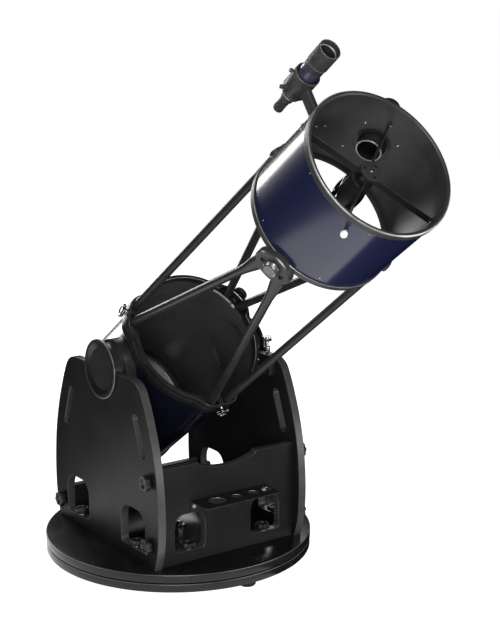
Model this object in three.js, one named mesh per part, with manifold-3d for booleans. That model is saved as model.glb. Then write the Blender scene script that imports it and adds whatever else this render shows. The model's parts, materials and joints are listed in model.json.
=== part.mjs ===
// A large truss-tube reflecting telescope on a rotating rocker box.
// Millimetres, +Z up. The origin is on the azimuth axis at the underside of the ground board.
// The tube leans towards -Y. +X is to the right seen from the front.
import * as THREE from 'three';
import { mergeVertices } from 'three/addons/utils/BufferGeometryUtils.js';
import Module from 'manifold-3d';

const wasm = await Module();
wasm.setup();

const GAP = 0.3;
const radians = THREE.MathUtils.degToRad;

// ---- main sizes -------------------------------------------------------------------------------
const GROUND = { radius: 415, bottom: 0, top: 25 };
const TURNTABLE = { radius: 416, bottom: 29, top: 54 };
const PANEL = { inner: 239, outer: 265, bottom: TURNTABLE.top + GAP, top: 604 };
const FRONT = { face: -279, back: -253, shoulder: 352, dip: 326 };
const REAR = { face: 275, back: 249, top: 160 };
const AXIS_HEIGHT = 601;
const TUBE_ALTITUDE = 35.7;
const TUBE = { outer: 203, inner: 202 };
const RING_OUTER = 207;
const LOWER = { rear: -428, front: 122 };
const UPPER = { rear: 880, front: 1165 };
const BEARING = { root: 182, base: 85, drum: 74, flange: 90, outer: 273, dish: 64, hollow: 68 };
const MIRROR = { radius: 178, face: -350, back: -395 };
const FOCUSER = { along: 1010, angle: 43.6 };
const FINDER = { along: 1010, angle: 90, height: 336 };
const CLAMP_ANGLES = [30, 150, 270];
const CONNECTOR_ANGLES = [90, 210, 330];
const ROUND = 36;
// Sides of a bore round a turning shaft: few enough to stay simple, enough for its flats to clear.
const BORE_SIDES = 12;

// ---- colours ----------------------------------------------------------------------------------
const LAMINATE = { color: 0x2b2b2c, metalness: 0.0, roughness: 0.6 };
const BLACK_METAL = { color: 0x232426, metalness: 0.6, roughness: 0.45 };
const RING_METAL = { color: 0x474946, metalness: 0.6, roughness: 0.4 };
const NAVY_PAINT = { color: 0x23283f, metalness: 0.5, roughness: 0.25 };
const BLACK_PLASTIC = { color: 0x17181a, metalness: 0.0, roughness: 0.5 };
const STEEL = { color: 0xb9bcc0, metalness: 0.95, roughness: 0.25 };
const RUBBER = { color: 0x111111, metalness: 0.0, roughness: 0.9 };
const GLASS = { color: 0xc3ccd6, metalness: 0.9, roughness: 0.05 };
const WHITE_PLASTIC = { color: 0xf2f2ef, metalness: 0.0, roughness: 0.35 };
const SLIPPERY = { color: 0xd9d7cf, metalness: 0.0, roughness: 0.45 };

// ---- solids -----------------------------------------------------------------------------------
function toSolid(geometry) {
  const bare = new THREE.BufferGeometry();
  bare.setAttribute('position', geometry.getAttribute('position').clone());
  if (geometry.index) {
    bare.setIndex(geometry.index.clone());
  }
  const merged = mergeVertices(bare, 1e-4);
  const mesh = new wasm.Mesh({
    numProp: 3,
    vertProperties: new Float32Array(merged.getAttribute('position').array),
    triVerts: new Uint32Array(merged.index.array),
  });
  mesh.merge();
  return new wasm.Manifold(mesh);
}

function toGeometry(solid) {
  const mesh = solid.getMesh();
  const geometry = new THREE.BufferGeometry();
  geometry.setAttribute('position', new THREE.BufferAttribute(new Float32Array(mesh.vertProperties), 3));
  geometry.setIndex(new THREE.BufferAttribute(new Uint32Array(mesh.triVerts), 1));
  return geometry;
}

function joined(...geometries) {
  return toGeometry(geometries.map(toSolid).reduce((all, next) => all.add(next)));
}

function cut(geometry, ...tools) {
  return toGeometry(tools.map(toSolid).reduce((rest, tool) => rest.subtract(tool), toSolid(geometry)));
}

function kept(geometry, region) {
  return toGeometry(toSolid(geometry).intersect(toSolid(region)));
}

// A turned solid about Z. The profile is a list of [radius, z]; a closed profile is a ring.
function turned(profile, segments = ROUND) {
  const points = profile.map(([radius, z]) => new THREE.Vector2(radius, z));
  const geometry = new THREE.LatheGeometry(points, segments);
  geometry.rotateX(Math.PI / 2);
  return outward(geometry);
}

function ringOf(profile, segments = ROUND) {
  return turned([...profile, profile[0]], segments);
}

function disc(radius, bottom, top, segments = ROUND) {
  return turned([[0, bottom], [radius, bottom], [radius, top], [0, top]], segments);
}

function tubeOf(outer, inner, bottom, top, segments = ROUND) {
  return ringOf([[inner, bottom], [outer, bottom], [outer, top], [inner, top]], segments);
}

function block(x0, x1, y0, y1, z0, z1) {
  const geometry = new THREE.BoxGeometry(x1 - x0, y1 - y0, z1 - z0);
  geometry.translate((x0 + x1) / 2, (y0 + y1) / 2, (z0 + z1) / 2);
  return geometry;
}

// Turns a surface round if it faces inwards, judged by its signed volume.
function outward(geometry) {
  const bare = new THREE.BufferGeometry();
  bare.setAttribute('position', geometry.getAttribute('position').clone());
  bare.setIndex(geometry.index.clone());
  const merged = mergeVertices(bare, 1e-4);
  const position = merged.getAttribute('position');
  const index = Array.from(merged.index.array);
  const faces = [];
  let volume = 0;
  for (let i = 0; i < index.length; i += 3) {
    const [a, b, c] = [index[i], index[i + 1], index[i + 2]];
    if (a === b || b === c || c === a) {
      continue;
    }
    faces.push(a, b, c);
    const pa = new THREE.Vector3().fromBufferAttribute(position, a);
    const pb = new THREE.Vector3().fromBufferAttribute(position, b);
    const pc = new THREE.Vector3().fromBufferAttribute(position, c);
    volume += pa.dot(pb.cross(pc)) / 6;
  }
  if (volume < 0) {
    for (let i = 0; i < faces.length; i += 3) {
      [faces[i], faces[i + 1]] = [faces[i + 1], faces[i]];
    }
  }
  merged.setIndex(faces);
  return merged;
}

// A plate cut to a shape drawn in XY, standing on Z = bottom.
function plate(shape, bottom, top, curveSegments = 8) {
  const geometry = new THREE.ExtrudeGeometry(shape, {
    depth: top - bottom,
    bevelEnabled: false,
    curveSegments,
  });
  geometry.translate(0, 0, bottom);
  return geometry;
}

function rod(radius, from, to, segments = 12) {
  const a = new THREE.Vector3(...from);
  const b = new THREE.Vector3(...to);
  const geometry = disc(radius, 0, a.distanceTo(b), segments);
  const along = b.clone().sub(a).normalize();
  const turn = new THREE.Quaternion().setFromUnitVectors(new THREE.Vector3(0, 0, 1), along);
  geometry.applyQuaternion(turn);
  geometry.translate(a.x, a.y, a.z);
  return geometry;
}

// ---- the assembly -----------------------------------------------------------------------------
const telescope = new THREE.Group();
telescope.name = 'truss_telescope';

// Everything that tips in altitude is drawn in the tube's own frame:
// X to the right, Y towards the top side of the tube, Z along the tube to the sky.
const tube = new THREE.Group();
tube.position.set(0, 0, AXIS_HEIGHT);
tube.rotation.x = radians(90 - TUBE_ALTITUDE);
telescope.add(tube);

function addPart(parent, name, geometry, finish) {
  geometry.computeVertexNormals();
  const mesh = new THREE.Mesh(geometry, new THREE.MeshStandardMaterial(finish));
  mesh.name = name;
  parent.add(mesh);
}

// Draws geometry made around an upright Z axis so that Z points out of the tube at an angle.
// Local X then runs round the tube and local Y runs towards the rear of the tube.
function facingOut(geometry, angle, along) {
  const out = new THREE.Vector3(Math.cos(radians(angle)), Math.sin(radians(angle)), 0);
  const round = new THREE.Vector3(-out.y, out.x, 0);
  const rearwards = new THREE.Vector3(0, 0, -1);
  const matrix = new THREE.Matrix4().makeBasis(round.clone().negate(), rearwards, out);
  if (matrix.determinant() < 0) {
    matrix.makeBasis(round, rearwards, out);
  }
  geometry.applyMatrix4(matrix);
  geometry.translate(0, 0, along);
  return geometry;
}

// A hand knob with rounded lobes, standing on Z = bottom.
function lobedHead(radius, bottom, top, lobes, depth) {
  const shape = new THREE.Shape();
  const steps = lobes * 3;
  for (let i = 0; i < steps; i += 1) {
    const angle = (i / steps) * Math.PI * 2;
    const reach = radius - depth * 0.5 * (1 - Math.cos(angle * lobes));
    const x = reach * Math.cos(angle);
    const y = reach * Math.sin(angle);
    if (i === 0) {
      shape.moveTo(x, y);
    } else {
      shape.lineTo(x, y);
    }
  }
  shape.closePath();
  return plate(shape, bottom, top);
}

// ---- ground board, feet and azimuth bearing ---------------------------------------------------
function roundBoard({ radius, bottom, top }, boreRadius) {
  const ease = 2.5;
  return ringOf([
    [boreRadius, bottom],
    [radius - ease, bottom],
    [radius, bottom + ease],
    [radius, top - ease],
    [radius - ease, top],
    [boreRadius, top],
  ], 48);
}

const PIVOT_SHAFT = 8;
const headPocket = disc(17, -1, 9, 16);
addPart(telescope, 'ground_board', cut(roundBoard(GROUND, PIVOT_SHAFT + GAP), headPocket), LAMINATE);

const FOOT = { height: 18, radius: 26, circle: 378 };
const footAngles = { foot_front: -90, foot_right: 30, foot_left: 150 };
for (const [name, angle] of Object.entries(footAngles)) {
  const foot = turned([
    [0, -FOOT.height + 3],
    [9, -FOOT.height + 3],
    [10, -FOOT.height],
    [FOOT.radius - 3, -FOOT.height],
    [FOOT.radius, -FOOT.height + 3],
    [FOOT.radius - 3, -GAP],
    [0, -GAP],
  ], 14);
  foot.translate(FOOT.circle * Math.cos(radians(angle)), FOOT.circle * Math.sin(radians(angle)), 0);
  addPart(telescope, name, foot, RUBBER);
}

const bearingRing = tubeOf(176, 130, GROUND.top + GAP, TURNTABLE.bottom - GAP, 32);
addPart(telescope, 'azimuth_bearing', bearingRing, STEEL);

const boltHead = disc(15, 0, 8, 6);
const boltShaft = disc(PIVOT_SHAFT, 7, 68, 12);
const boltWasher = disc(22, TURNTABLE.top + GAP, TURNTABLE.top + 3, 16);
const boltNut = disc(15, TURNTABLE.top + 2.5, TURNTABLE.top + 13, 6);
addPart(telescope, 'pivot_bolt', joined(boltHead, boltShaft, boltWasher, boltNut), STEEL);

// ---- rocker box -------------------------------------------------------------------------------
addPart(telescope, 'turntable_board', roundBoard(TURNTABLE, PIVOT_SHAFT + GAP), LAMINATE);

// A round-topped window, drawn about its own centre line.
function archPath(centre, halfWidth, bottom, top, topFlat) {
  const path = new THREE.Path();
  const corner = 14;
  const spring = top - 46;
  path.moveTo(centre - halfWidth + corner, bottom);
  path.lineTo(centre + halfWidth - corner, bottom);
  path.quadraticCurveTo(centre + halfWidth, bottom, centre + halfWidth, bottom + corner);
  path.lineTo(centre + halfWidth, spring);
  path.bezierCurveTo(centre + halfWidth - 1, top - 14, centre + topFlat + 18, top, centre + topFlat, top);
  path.lineTo(centre - topFlat, top);
  path.bezierCurveTo(
    centre - topFlat - 18, top, centre - halfWidth + 1, top - 14, centre - halfWidth, spring);
  path.lineTo(centre - halfWidth, bottom + corner);
  path.quadraticCurveTo(centre - halfWidth, bottom, centre - halfWidth + corner, bottom);
  return path;
}

// A long hand slot between two end centres.
function slotPath(side) {
  const radius = 14;
  const upper = new THREE.Vector2(side * 192, 490);
  const lower = new THREE.Vector2(side * 230, 391);
  const along = upper.clone().sub(lower).angle();
  const path = new THREE.Path();
  path.absarc(upper.x, upper.y, radius, along - Math.PI / 2, along + Math.PI / 2, false);
  path.absarc(lower.x, lower.y, radius, along + Math.PI / 2, along + Math.PI * 1.5, false);
  path.closePath();
  return path;
}

const LINER = { inner: BEARING.drum + 0.5, outer: BEARING.drum + 4.2 };
const NOTCH_RADIUS = LINER.outer + GAP;

// Short straight steps round the altitude axis, so that the liner and its notch match.
function arcRoundAxis(path, radius, from, to) {
  const step = 7.5 * Math.sign(to - from);
  for (let angle = from; angle !== to + step; angle += step) {
    path.lineTo(radius * Math.cos(radians(angle)), AXIS_HEIGHT + radius * Math.sin(radians(angle)));
  }
}

function sidePanelShape() {
  const edge = [
    [289, PANEL.bottom], [307, 110], [314, 185], [312, 265],
    [302, 349], [281, 434], [249, 520], [229, 562],
  ];
  const rise = edge.map(([y, z]) => new THREE.Vector2(y, z));
  const fall = edge.map(([y, z]) => new THREE.Vector2(-y, z)).reverse();
  const shape = new THREE.Shape();
  shape.moveTo(-289, PANEL.bottom);
  shape.lineTo(289, PANEL.bottom);
  shape.splineThru(rise.slice(1));
  shape.quadraticCurveTo(210, PANEL.top, 163, PANEL.top);
  shape.lineTo(NOTCH_RADIUS + 7, PANEL.top);
  shape.lineTo(NOTCH_RADIUS + 1, PANEL.top - 3);
  arcRoundAxis(shape, NOTCH_RADIUS, -7.5, -172.5);
  shape.lineTo(-NOTCH_RADIUS - 1, PANEL.top - 3);
  shape.lineTo(-NOTCH_RADIUS - 7, PANEL.top);
  shape.lineTo(-163, PANEL.top);
  shape.quadraticCurveTo(-210, PANEL.top, -229, 562);
  shape.splineThru(fall.slice(1));
  shape.holes.push(archPath(168, 69, 92, 214, 24), archPath(-168, 69, 92, 214, 24));
  shape.holes.push(slotPath(1), slotPath(-1));
  return shape;
}

// Turns a plate drawn in Y and Z so that its thickness runs along X.
function standAcross(geometry) {
  geometry.applyMatrix4(new THREE.Matrix4().set(0, 0, 1, 0, 1, 0, 0, 0, 0, 1, 0, 0, 0, 0, 0, 1));
  return geometry;
}

const FRONT_MID = (FRONT.face + FRONT.back) / 2;
const REAR_MID = (REAR.face + REAR.back) / 2;
const sideKnobs = [
  { place: 'front_upper', y: FRONT_MID, z: 320 },
  { place: 'front_lower', y: FRONT_MID, z: 127 },
  { place: 'rear', y: REAR_MID, z: 120 },
];
const KNOB_SHAFT = 4;
const KNOB_REACH = 205;

function knobBores(from, to) {
  return sideKnobs.map(({ y, z }) => rod(KNOB_SHAFT + GAP, [from, y, z], [to, y, z], 8));
}

for (const [name, side] of [['left', -1], ['right', 1]]) {
  const [x0, x1] = side < 0 ? [-PANEL.outer, -PANEL.inner] : [PANEL.inner, PANEL.outer];
  const panel = standAcross(plate(sidePanelShape(), x0, x1, 4));
  addPart(telescope, `${name}_side_panel`, cut(panel, ...knobBores(x0 - 2, x1 + 2)), LAMINATE);

  const liner = new THREE.Shape();
  liner.moveTo(LINER.outer * Math.cos(radians(-165)), AXIS_HEIGHT + LINER.outer * Math.sin(radians(-165)));
  arcRoundAxis(liner, LINER.outer, -157.5, -15);
  arcRoundAxis(liner, LINER.inner, -15, -165);
  liner.closePath();
  addPart(telescope, `${name}_bearing_liner`, standAcross(plate(liner, x0 + 1, x1 - 1, 14)), SLIPPERY);

  for (const { place, y, z } of sideKnobs) {
    const head = lobedHead(25, PANEL.outer + 3, PANEL.outer + 22, 7, 3.5);
    const hub = disc(10, PANEL.outer + GAP, PANEL.outer + 4, 10);
    const shaft = disc(KNOB_SHAFT, KNOB_REACH, PANEL.outer + 5, 8);
    const knob = joined(head, hub, shaft);
    knob.applyMatrix4(new THREE.Matrix4().makeRotationY((side * Math.PI) / 2));
    knob.translate(0, y, z);
    addPart(telescope, `${name}_${place}_knob`, knob, BLACK_PLASTIC);
  }
}

const frontShape = new THREE.Shape();
const CRADLE = { half: 99, edge: FRONT.dip + 19 };
frontShape.moveTo(-PANEL.inner + GAP, PANEL.bottom);
frontShape.lineTo(PANEL.inner - GAP, PANEL.bottom);
frontShape.lineTo(PANEL.inner - GAP, FRONT.shoulder);
frontShape.lineTo(CRADLE.half + 5, FRONT.shoulder);
frontShape.lineTo(CRADLE.half, CRADLE.edge);
frontShape.quadraticCurveTo(0, 2 * FRONT.dip - CRADLE.edge, -CRADLE.half, CRADLE.edge);
frontShape.lineTo(-CRADLE.half - 5, FRONT.shoulder);
frontShape.lineTo(-PANEL.inner + GAP, FRONT.shoulder);
frontShape.closePath();
frontShape.holes.push(archPath(135, 53, 89, 203, 20), archPath(-135, 53, 89, 203, 20));
const frontPanel = plate(frontShape, 0, FRONT.back - FRONT.face, 5);
frontPanel.rotateX(Math.PI / 2);
frontPanel.translate(0, FRONT.back, 0);
const boresLeft = knobBores(-PANEL.inner - 2, -KNOB_REACH + 2);
const boresRight = knobBores(KNOB_REACH - 2, PANEL.inner + 2);
addPart(telescope, 'front_panel', cut(frontPanel, ...boresLeft, ...boresRight), LAMINATE);

const rearBlank = block(-PANEL.inner + GAP, PANEL.inner - GAP, REAR.back, REAR.face, PANEL.bottom, REAR.top);
addPart(telescope, 'rear_panel', cut(rearBlank, ...boresLeft, ...boresRight), LAMINATE);

// The eyepiece rack is a bent plate on the front panel with one wide and three narrow holes.
const RACK = { half: 134, top: 240, thick: 3, front: -367, flange: 30 };
const rackBack = FRONT.face - GAP;
const rackShelf = new THREE.Shape();
rackShelf.moveTo(-RACK.half, rackBack);
rackShelf.lineTo(-RACK.half, RACK.front + 10);
rackShelf.lineTo(-RACK.half + 10, RACK.front);
rackShelf.lineTo(RACK.half - 10, RACK.front);
rackShelf.lineTo(RACK.half, RACK.front + 10);
rackShelf.lineTo(RACK.half, rackBack);
rackShelf.closePath();
for (const [x, radius] of [[-66, 26], [3, 16.2], [62, 16.2], [110, 16.2]]) {
  const hole = new THREE.Path();
  hole.absarc(x, -320, radius, 0, Math.PI * 2, true);
  rackShelf.holes.push(hole);
}
const rackTop = plate(rackShelf, RACK.top - RACK.thick, RACK.top, 8);
const rackFlange = block(
  -RACK.half, RACK.half, rackBack - RACK.thick, rackBack, RACK.top - RACK.flange, RACK.top - RACK.thick / 2);
addPart(telescope, 'eyepiece_rack', joined(rackTop, rackFlange), BLACK_METAL);

// Altitude brake: a block on the inside of the right panel with an upright clamping screw.
const BRAKE = {
  x0: 213, x1: PANEL.inner - GAP, y0: -192, y1: -118, z0: 548, z1: 610, screwX: 225, screwY: -164,
};
const brakeBlock = block(BRAKE.x0, BRAKE.x1, BRAKE.y0, BRAKE.y1, BRAKE.z0, BRAKE.z1);
const brakeBore = disc(5 + GAP, BRAKE.z0 + 10, BRAKE.z1 + 5, BORE_SIDES);
brakeBore.translate(BRAKE.screwX, BRAKE.screwY, 0);
addPart(telescope, 'altitude_brake_block', cut(brakeBlock, brakeBore), BLACK_METAL);

const brakeKnob = turned([
  [0, BRAKE.z0 + 12],
  [5, BRAKE.z0 + 12],
  [5, BRAKE.z1 + 8],
  [10, BRAKE.z1 + 8],
  [10, BRAKE.z1 + 24],
  [7, BRAKE.z1 + 26],
  [7, BRAKE.z1 + 42],
  [15, BRAKE.z1 + 43],
  [15, BRAKE.z1 + 56],
  [12, BRAKE.z1 + 58],
  [0, BRAKE.z1 + 58],
], 12);
brakeKnob.translate(BRAKE.screwX, BRAKE.screwY, 0);
addPart(telescope, 'altitude_brake_knob', brakeKnob, STEEL);

// ---- lower tube, mirror and altitude bearings -------------------------------------------------
addPart(tube, 'lower_tube', tubeOf(TUBE.outer, TUBE.inner, LOWER.rear, LOWER.front), NAVY_PAINT);

// The bearing drums stand on the sides of the tube and are cut to its curve. They are open towards
// the tube and have a shallow dish in their outer face.
const tubeEnvelope = disc(TUBE.outer + GAP, LOWER.rear, LOWER.front);
for (const [name, side] of [['left', -1], ['right', 1]]) {
  const { root, base, drum, flange, outer, dish, hollow } = BEARING;
  const cup = turned([
    [hollow, root],
    [base, root],
    [base, 229],
    [drum, 230],
    [drum, outer - 8],
    [flange, outer - 7],
    [flange, outer - 1.5],
    [flange - 2, outer],
    [flange - 10, outer],
    [dish, outer - 7],
    [0, outer - 7],
    [0, outer - 15],
    [hollow, outer - 15],
    [hollow, root],
  ], ROUND);
  cup.applyMatrix4(new THREE.Matrix4().makeRotationY((side * Math.PI) / 2));
  addPart(tube, `${name}_altitude_bearing`, cut(cup, tubeEnvelope), BLACK_METAL);
}

// A smooth bump of 0..1 around each clamp angle, used for the ears of the lower ring.
function nearClamp(angle, halfSpan, shoulder) {
  let strength = 0;
  for (const clamp of CLAMP_ANGLES) {
    const away = Math.abs(((angle - clamp + 540) % 360) - 180);
    const ramp = THREE.MathUtils.clamp((halfSpan - away) / shoulder, 0, 1);
    strength = Math.max(strength, ramp * ramp * (3 - 2 * ramp));
  }
  return strength;
}

function polarPath(path, radiusAt, steps) {
  for (let i = 0; i < steps; i += 1) {
    const angle = (i / steps) * 360;
    const radius = radiusAt(angle);
    const x = radius * Math.cos(radians(angle));
    const y = radius * Math.sin(radians(angle));
    if (i === 0) {
      path.moveTo(x, y);
    } else {
      path.lineTo(x, y);
    }
  }
  path.closePath();
  return path;
}

const EAR = 21;
const RING_STEPS = 60;
const earRadius = (angle) => RING_OUTER + EAR * nearClamp(angle, 24, 16);
const pocketRadius = (angle) => 197 + 25 * nearClamp(angle, 17, 3.5);

const ringRearShape = polarPath(new THREE.Shape(), earRadius, RING_STEPS);
ringRearShape.holes.push(polarPath(new THREE.Path(), () => TUBE.outer + GAP + 0.5, RING_STEPS));
const ringFrontShape = polarPath(new THREE.Shape(), earRadius, RING_STEPS);
ringFrontShape.holes.push(polarPath(new THREE.Path(), pocketRadius, RING_STEPS));
let lowerRing = joined(
  plate(ringRearShape, 100, LOWER.front + 1),
  plate(ringFrontShape, LOWER.front + GAP, 149),
);
const CLAMP_ALONG = 135;
const clampBlocks = CLAMP_ANGLES.map(
  (angle) => facingOut(block(-8, 8, -13, 13, 198, 224), angle, CLAMP_ALONG));
lowerRing = joined(lowerRing, ...clampBlocks);
const clampBores = CLAMP_ANGLES.map(
  (angle) => facingOut(disc(5 + GAP, 204, 240, BORE_SIDES), angle, CLAMP_ALONG));
addPart(tube, 'lower_tube_ring', cut(lowerRing, ...clampBores), RING_METAL);

for (const [i, angle] of CLAMP_ANGLES.entries()) {
  const knob = joined(
    disc(5, 206, 232, 10),
    disc(9, RING_OUTER + EAR + GAP + 0.5, 238, 10),
    lobedHead(23, 236, 251, 6, 3.5),
  );
  addPart(tube, `lower_clamp_knob_${i + 1}`, facingOut(knob, angle, CLAMP_ALONG), STEEL);
}

// Mirror cell: an end ring with three spokes, posts behind the mirror and clips in front of it.
const CELL_ANGLES = [90, 210, 330];
const cellRim = ringOf([
  [188, LOWER.rear - 9],
  [RING_OUTER, LOWER.rear - 9],
  [RING_OUTER, LOWER.rear + 16],
  [TUBE.outer + GAP, LOWER.rear + 16],
  [TUBE.outer + GAP, LOWER.rear - GAP],
  [188, LOWER.rear - GAP],
]);
const cellPieces = [cellRim, disc(62, LOWER.rear - 9, LOWER.rear - GAP, 16)];
for (const angle of CELL_ANGLES) {
  const spoke = block(50, 192, -17, 17, LOWER.rear - 9, LOWER.rear - GAP);
  const post = disc(16, LOWER.rear - 5, MIRROR.back - GAP, 8);
  post.translate(130, 0, 0);
  const strut = block(MIRROR.radius + 2, 192, -9, 9, LOWER.rear - 5, MIRROR.face + 8);
  const clip = block(MIRROR.radius - 7, 190, -9, 9, MIRROR.face + GAP, MIRROR.face + 6);
  for (const piece of [spoke, post, strut, clip]) {
    piece.rotateZ(radians(angle));
    cellPieces.push(piece);
  }
}
cellPieces.push(tubeOf(TUBE.inner - 2, MIRROR.radius + 1, MIRROR.face + 5, MIRROR.face + 9));
const collimationBores = CELL_ANGLES.map((angle) => {
  const bore = disc(4 + GAP, LOWER.rear - 12, MIRROR.back - 8, BORE_SIDES);
  bore.translate(130, 0, 0);
  bore.rotateZ(radians(angle));
  return bore;
});
addPart(tube, 'mirror_cell', cut(joined(...cellPieces), ...collimationBores), BLACK_METAL);
addPart(tube, 'primary_mirror', disc(MIRROR.radius, MIRROR.back, MIRROR.face), GLASS);

for (const [i, angle] of CELL_ANGLES.entries()) {
  const knob = joined(
    disc(4, LOWER.rear - 12, MIRROR.back - 10, 8),
    lobedHead(17, LOWER.rear - 28, LOWER.rear - 11, 6, 2.5),
  );
  knob.translate(130, 0, 0);
  knob.rotateZ(radians(angle));
  addPart(tube, `collimation_knob_${i + 1}`, knob, BLACK_PLASTIC);
}

// ---- truss ------------------------------------------------------------------------------------
const CONNECTOR = { along: 857, round: 56, length: 40, inner: 199, outer: 222 };

function ovalPlate(extra, inner, outer) {
  const oval = new THREE.Shape();
  oval.absellipse(0, 0, CONNECTOR.round + extra, CONNECTOR.length + extra, 0, Math.PI * 2, false, 0);
  return plate(oval, inner, outer, 10);
}

const rearRingEnvelope = disc(RING_OUTER + GAP, UPPER.rear - 4 - GAP, UPPER.rear + 60);
for (const [i, angle] of CONNECTOR_ANGLES.entries()) {
  const body = facingOut(ovalPlate(0, CONNECTOR.inner, CONNECTOR.outer), angle, CONNECTOR.along);
  const boreSolid = disc(6 + GAP, CONNECTOR.inner + 5, CONNECTOR.outer + 5, BORE_SIDES);
  const bore = facingOut(boreSolid, angle, CONNECTOR.along);
  addPart(tube, `truss_connector_${i + 1}`, cut(body, rearRingEnvelope, bore), RING_METAL);

  const knob = turned([
    [0, CONNECTOR.inner + 7],
    [6, CONNECTOR.inner + 7],
    [6, CONNECTOR.outer + 3],
    [12, CONNECTOR.outer + GAP],
    [24, CONNECTOR.outer + GAP],
    [24, CONNECTOR.outer + 7],
    [20, CONNECTOR.outer + 12],
    [11, CONNECTOR.outer + 15.5],
    [0, CONNECTOR.outer + 16.5],
  ], 12);
  addPart(tube, `truss_knob_${i + 1}`, facingOut(knob, angle, CONNECTOR.along), STEEL);
}

// A point in the tube's frame: distance along, out from the axis, and sideways round the tube.
function tubePoint(along, out, angle, sideways) {
  const a = radians(angle);
  return new THREE.Vector3(
    out * Math.cos(a) - sideways * Math.sin(a),
    out * Math.sin(a) + sideways * Math.cos(a),
    along,
  );
}

const POLE = { radius: 12.5, bore: 11, flare: 20 };
const POLE_FOOT = { along: 130, out: 208, side: 25 };
const POLE_HEAD = { along: 832, out: 212, side: 34 };
let poleNumber = 0;
for (const clamp of CLAMP_ANGLES) {
  for (const turn of [-1, 1]) {
    const connector = (clamp + turn * 60 + 360) % 360;
    const foot = tubePoint(POLE_FOOT.along, POLE_FOOT.out, clamp, turn * POLE_FOOT.side);
    const head = tubePoint(POLE_HEAD.along, POLE_HEAD.out, connector, -turn * POLE_HEAD.side);
    const length = head.distanceTo(foot);
    const blank = turned([
      [0, 0],
      [POLE.radius - 2, 0],
      [POLE.radius, 2],
      [POLE.radius, length - 85],
      [POLE.radius + 1.5, length - 50],
      [POLE.radius + 4, length - 25],
      [POLE.flare, length],
      [0, length],
    ], 12);
    // The flare is wide round the tube and stays thin across it.
    const axis = head.clone().sub(foot).normalize();
    const out = tubePoint(0, 1, connector, 0);
    const across = out.clone().cross(axis).normalize();
    const thin = axis.clone().cross(across).normalize();
    const position = blank.getAttribute('position');
    for (let i = 0; i < position.count; i += 1) {
      const reach = Math.hypot(position.getX(i), position.getY(i));
      if (reach > POLE.radius + 0.1) {
        position.setY(i, (position.getY(i) * POLE.radius) / reach);
      }
    }
    // The pole is a tube, open at its foot and closed where it starts to flare.
    const pole = cut(blank, disc(POLE.bore, -5, length - 90, 12));
    pole.applyMatrix4(new THREE.Matrix4().makeBasis(across, thin, axis));
    pole.translate(foot.x, foot.y, foot.z);
    const seat = facingOut(ovalPlate(GAP, 180, 250), connector, CONNECTOR.along);
    poleNumber += 1;
    addPart(tube, `truss_pole_${poleNumber}`, cut(pole, seat), BLACK_METAL);
  }
}

// ---- upper tube -------------------------------------------------------------------------------
const FOCUSER_HOLE = 53;
const focuserHole = facingOut(disc(FOCUSER_HOLE, 150, 230, 24), FOCUSER.angle, FOCUSER.along);
const upperBlank = tubeOf(TUBE.outer, TUBE.inner, UPPER.rear, UPPER.front);
addPart(tube, 'upper_tube', cut(upperBlank, focuserHole), NAVY_PAINT);

const rimFront = UPPER.front + 4;
addPart(tube, 'upper_front_ring', ringOf([
  [TUBE.outer + GAP, rimFront - 20],
  [RING_OUTER, rimFront - 20],
  [RING_OUTER, rimFront - 3],
  [RING_OUTER - 3, rimFront],
  [198, rimFront],
  [195.5, rimFront - 3],
  [195.5, rimFront - 44],
  [TUBE.inner - 1, rimFront - 44],
  [TUBE.inner - 1, UPPER.front + GAP],
  [TUBE.outer + GAP, UPPER.front + GAP],
]), RING_METAL);

addPart(tube, 'upper_rear_ring', ringOf([
  [189, UPPER.rear - 4],
  [RING_OUTER - 1, UPPER.rear - 4],
  [RING_OUTER, UPPER.rear - 3],
  [RING_OUTER, UPPER.rear + 13],
  [TUBE.outer + GAP, UPPER.rear + 13],
  [TUBE.outer + GAP, UPPER.rear - GAP],
  [189, UPPER.rear - GAP],
]), RING_METAL);

// Spider: a round hub on four thin vanes, with a centre bolt to the mirror holder.
const SPIDER = { along: 1101, vane: 22, thickness: 1.6 };
const spiderPieces = [
  disc(22, 1084, 1120, 14),
  disc(29.5, 1117, 1125, 18),
  disc(5, 1078, 1090, 8),
];
for (const angle of [45, 135, 225, 315]) {
  const half = SPIDER.thickness / 2;
  const vane = block(10, TUBE.inner - 1, -half, half, SPIDER.along - 11, SPIDER.along + 11);
  const tab = block(TUBE.inner - 5, TUBE.inner - 1, -4, 4, SPIDER.along - 7, SPIDER.along + 7);
  vane.rotateZ(radians(angle));
  tab.rotateZ(radians(angle));
  spiderPieces.push(vane, tab);
}
addPart(tube, 'secondary_spider', joined(...spiderPieces), BLACK_METAL);

// The flat mirror faces half towards the main mirror and half towards the focuser.
function slabFacing(from, to) {
  const slab = block(-150, 150, -150, 150, from, to);
  const out = tubePoint(0, 1, FOCUSER.angle, 0);
  const normal = out.clone().sub(new THREE.Vector3(0, 0, 1)).normalize();
  slab.applyQuaternion(new THREE.Quaternion().setFromUnitVectors(new THREE.Vector3(0, 0, 1), normal));
  slab.translate(0, 0, FOCUSER.along);
  return slab;
}
const holderSolid = kept(disc(30.5, 960, 1077.5, 24), slabFacing(-140, -10 - GAP));
addPart(tube, 'secondary_holder', holderSolid, BLACK_METAL);
addPart(tube, 'secondary_mirror', kept(disc(38, 950, 1077, 24), slabFacing(-10, 0)), GLASS);

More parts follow.
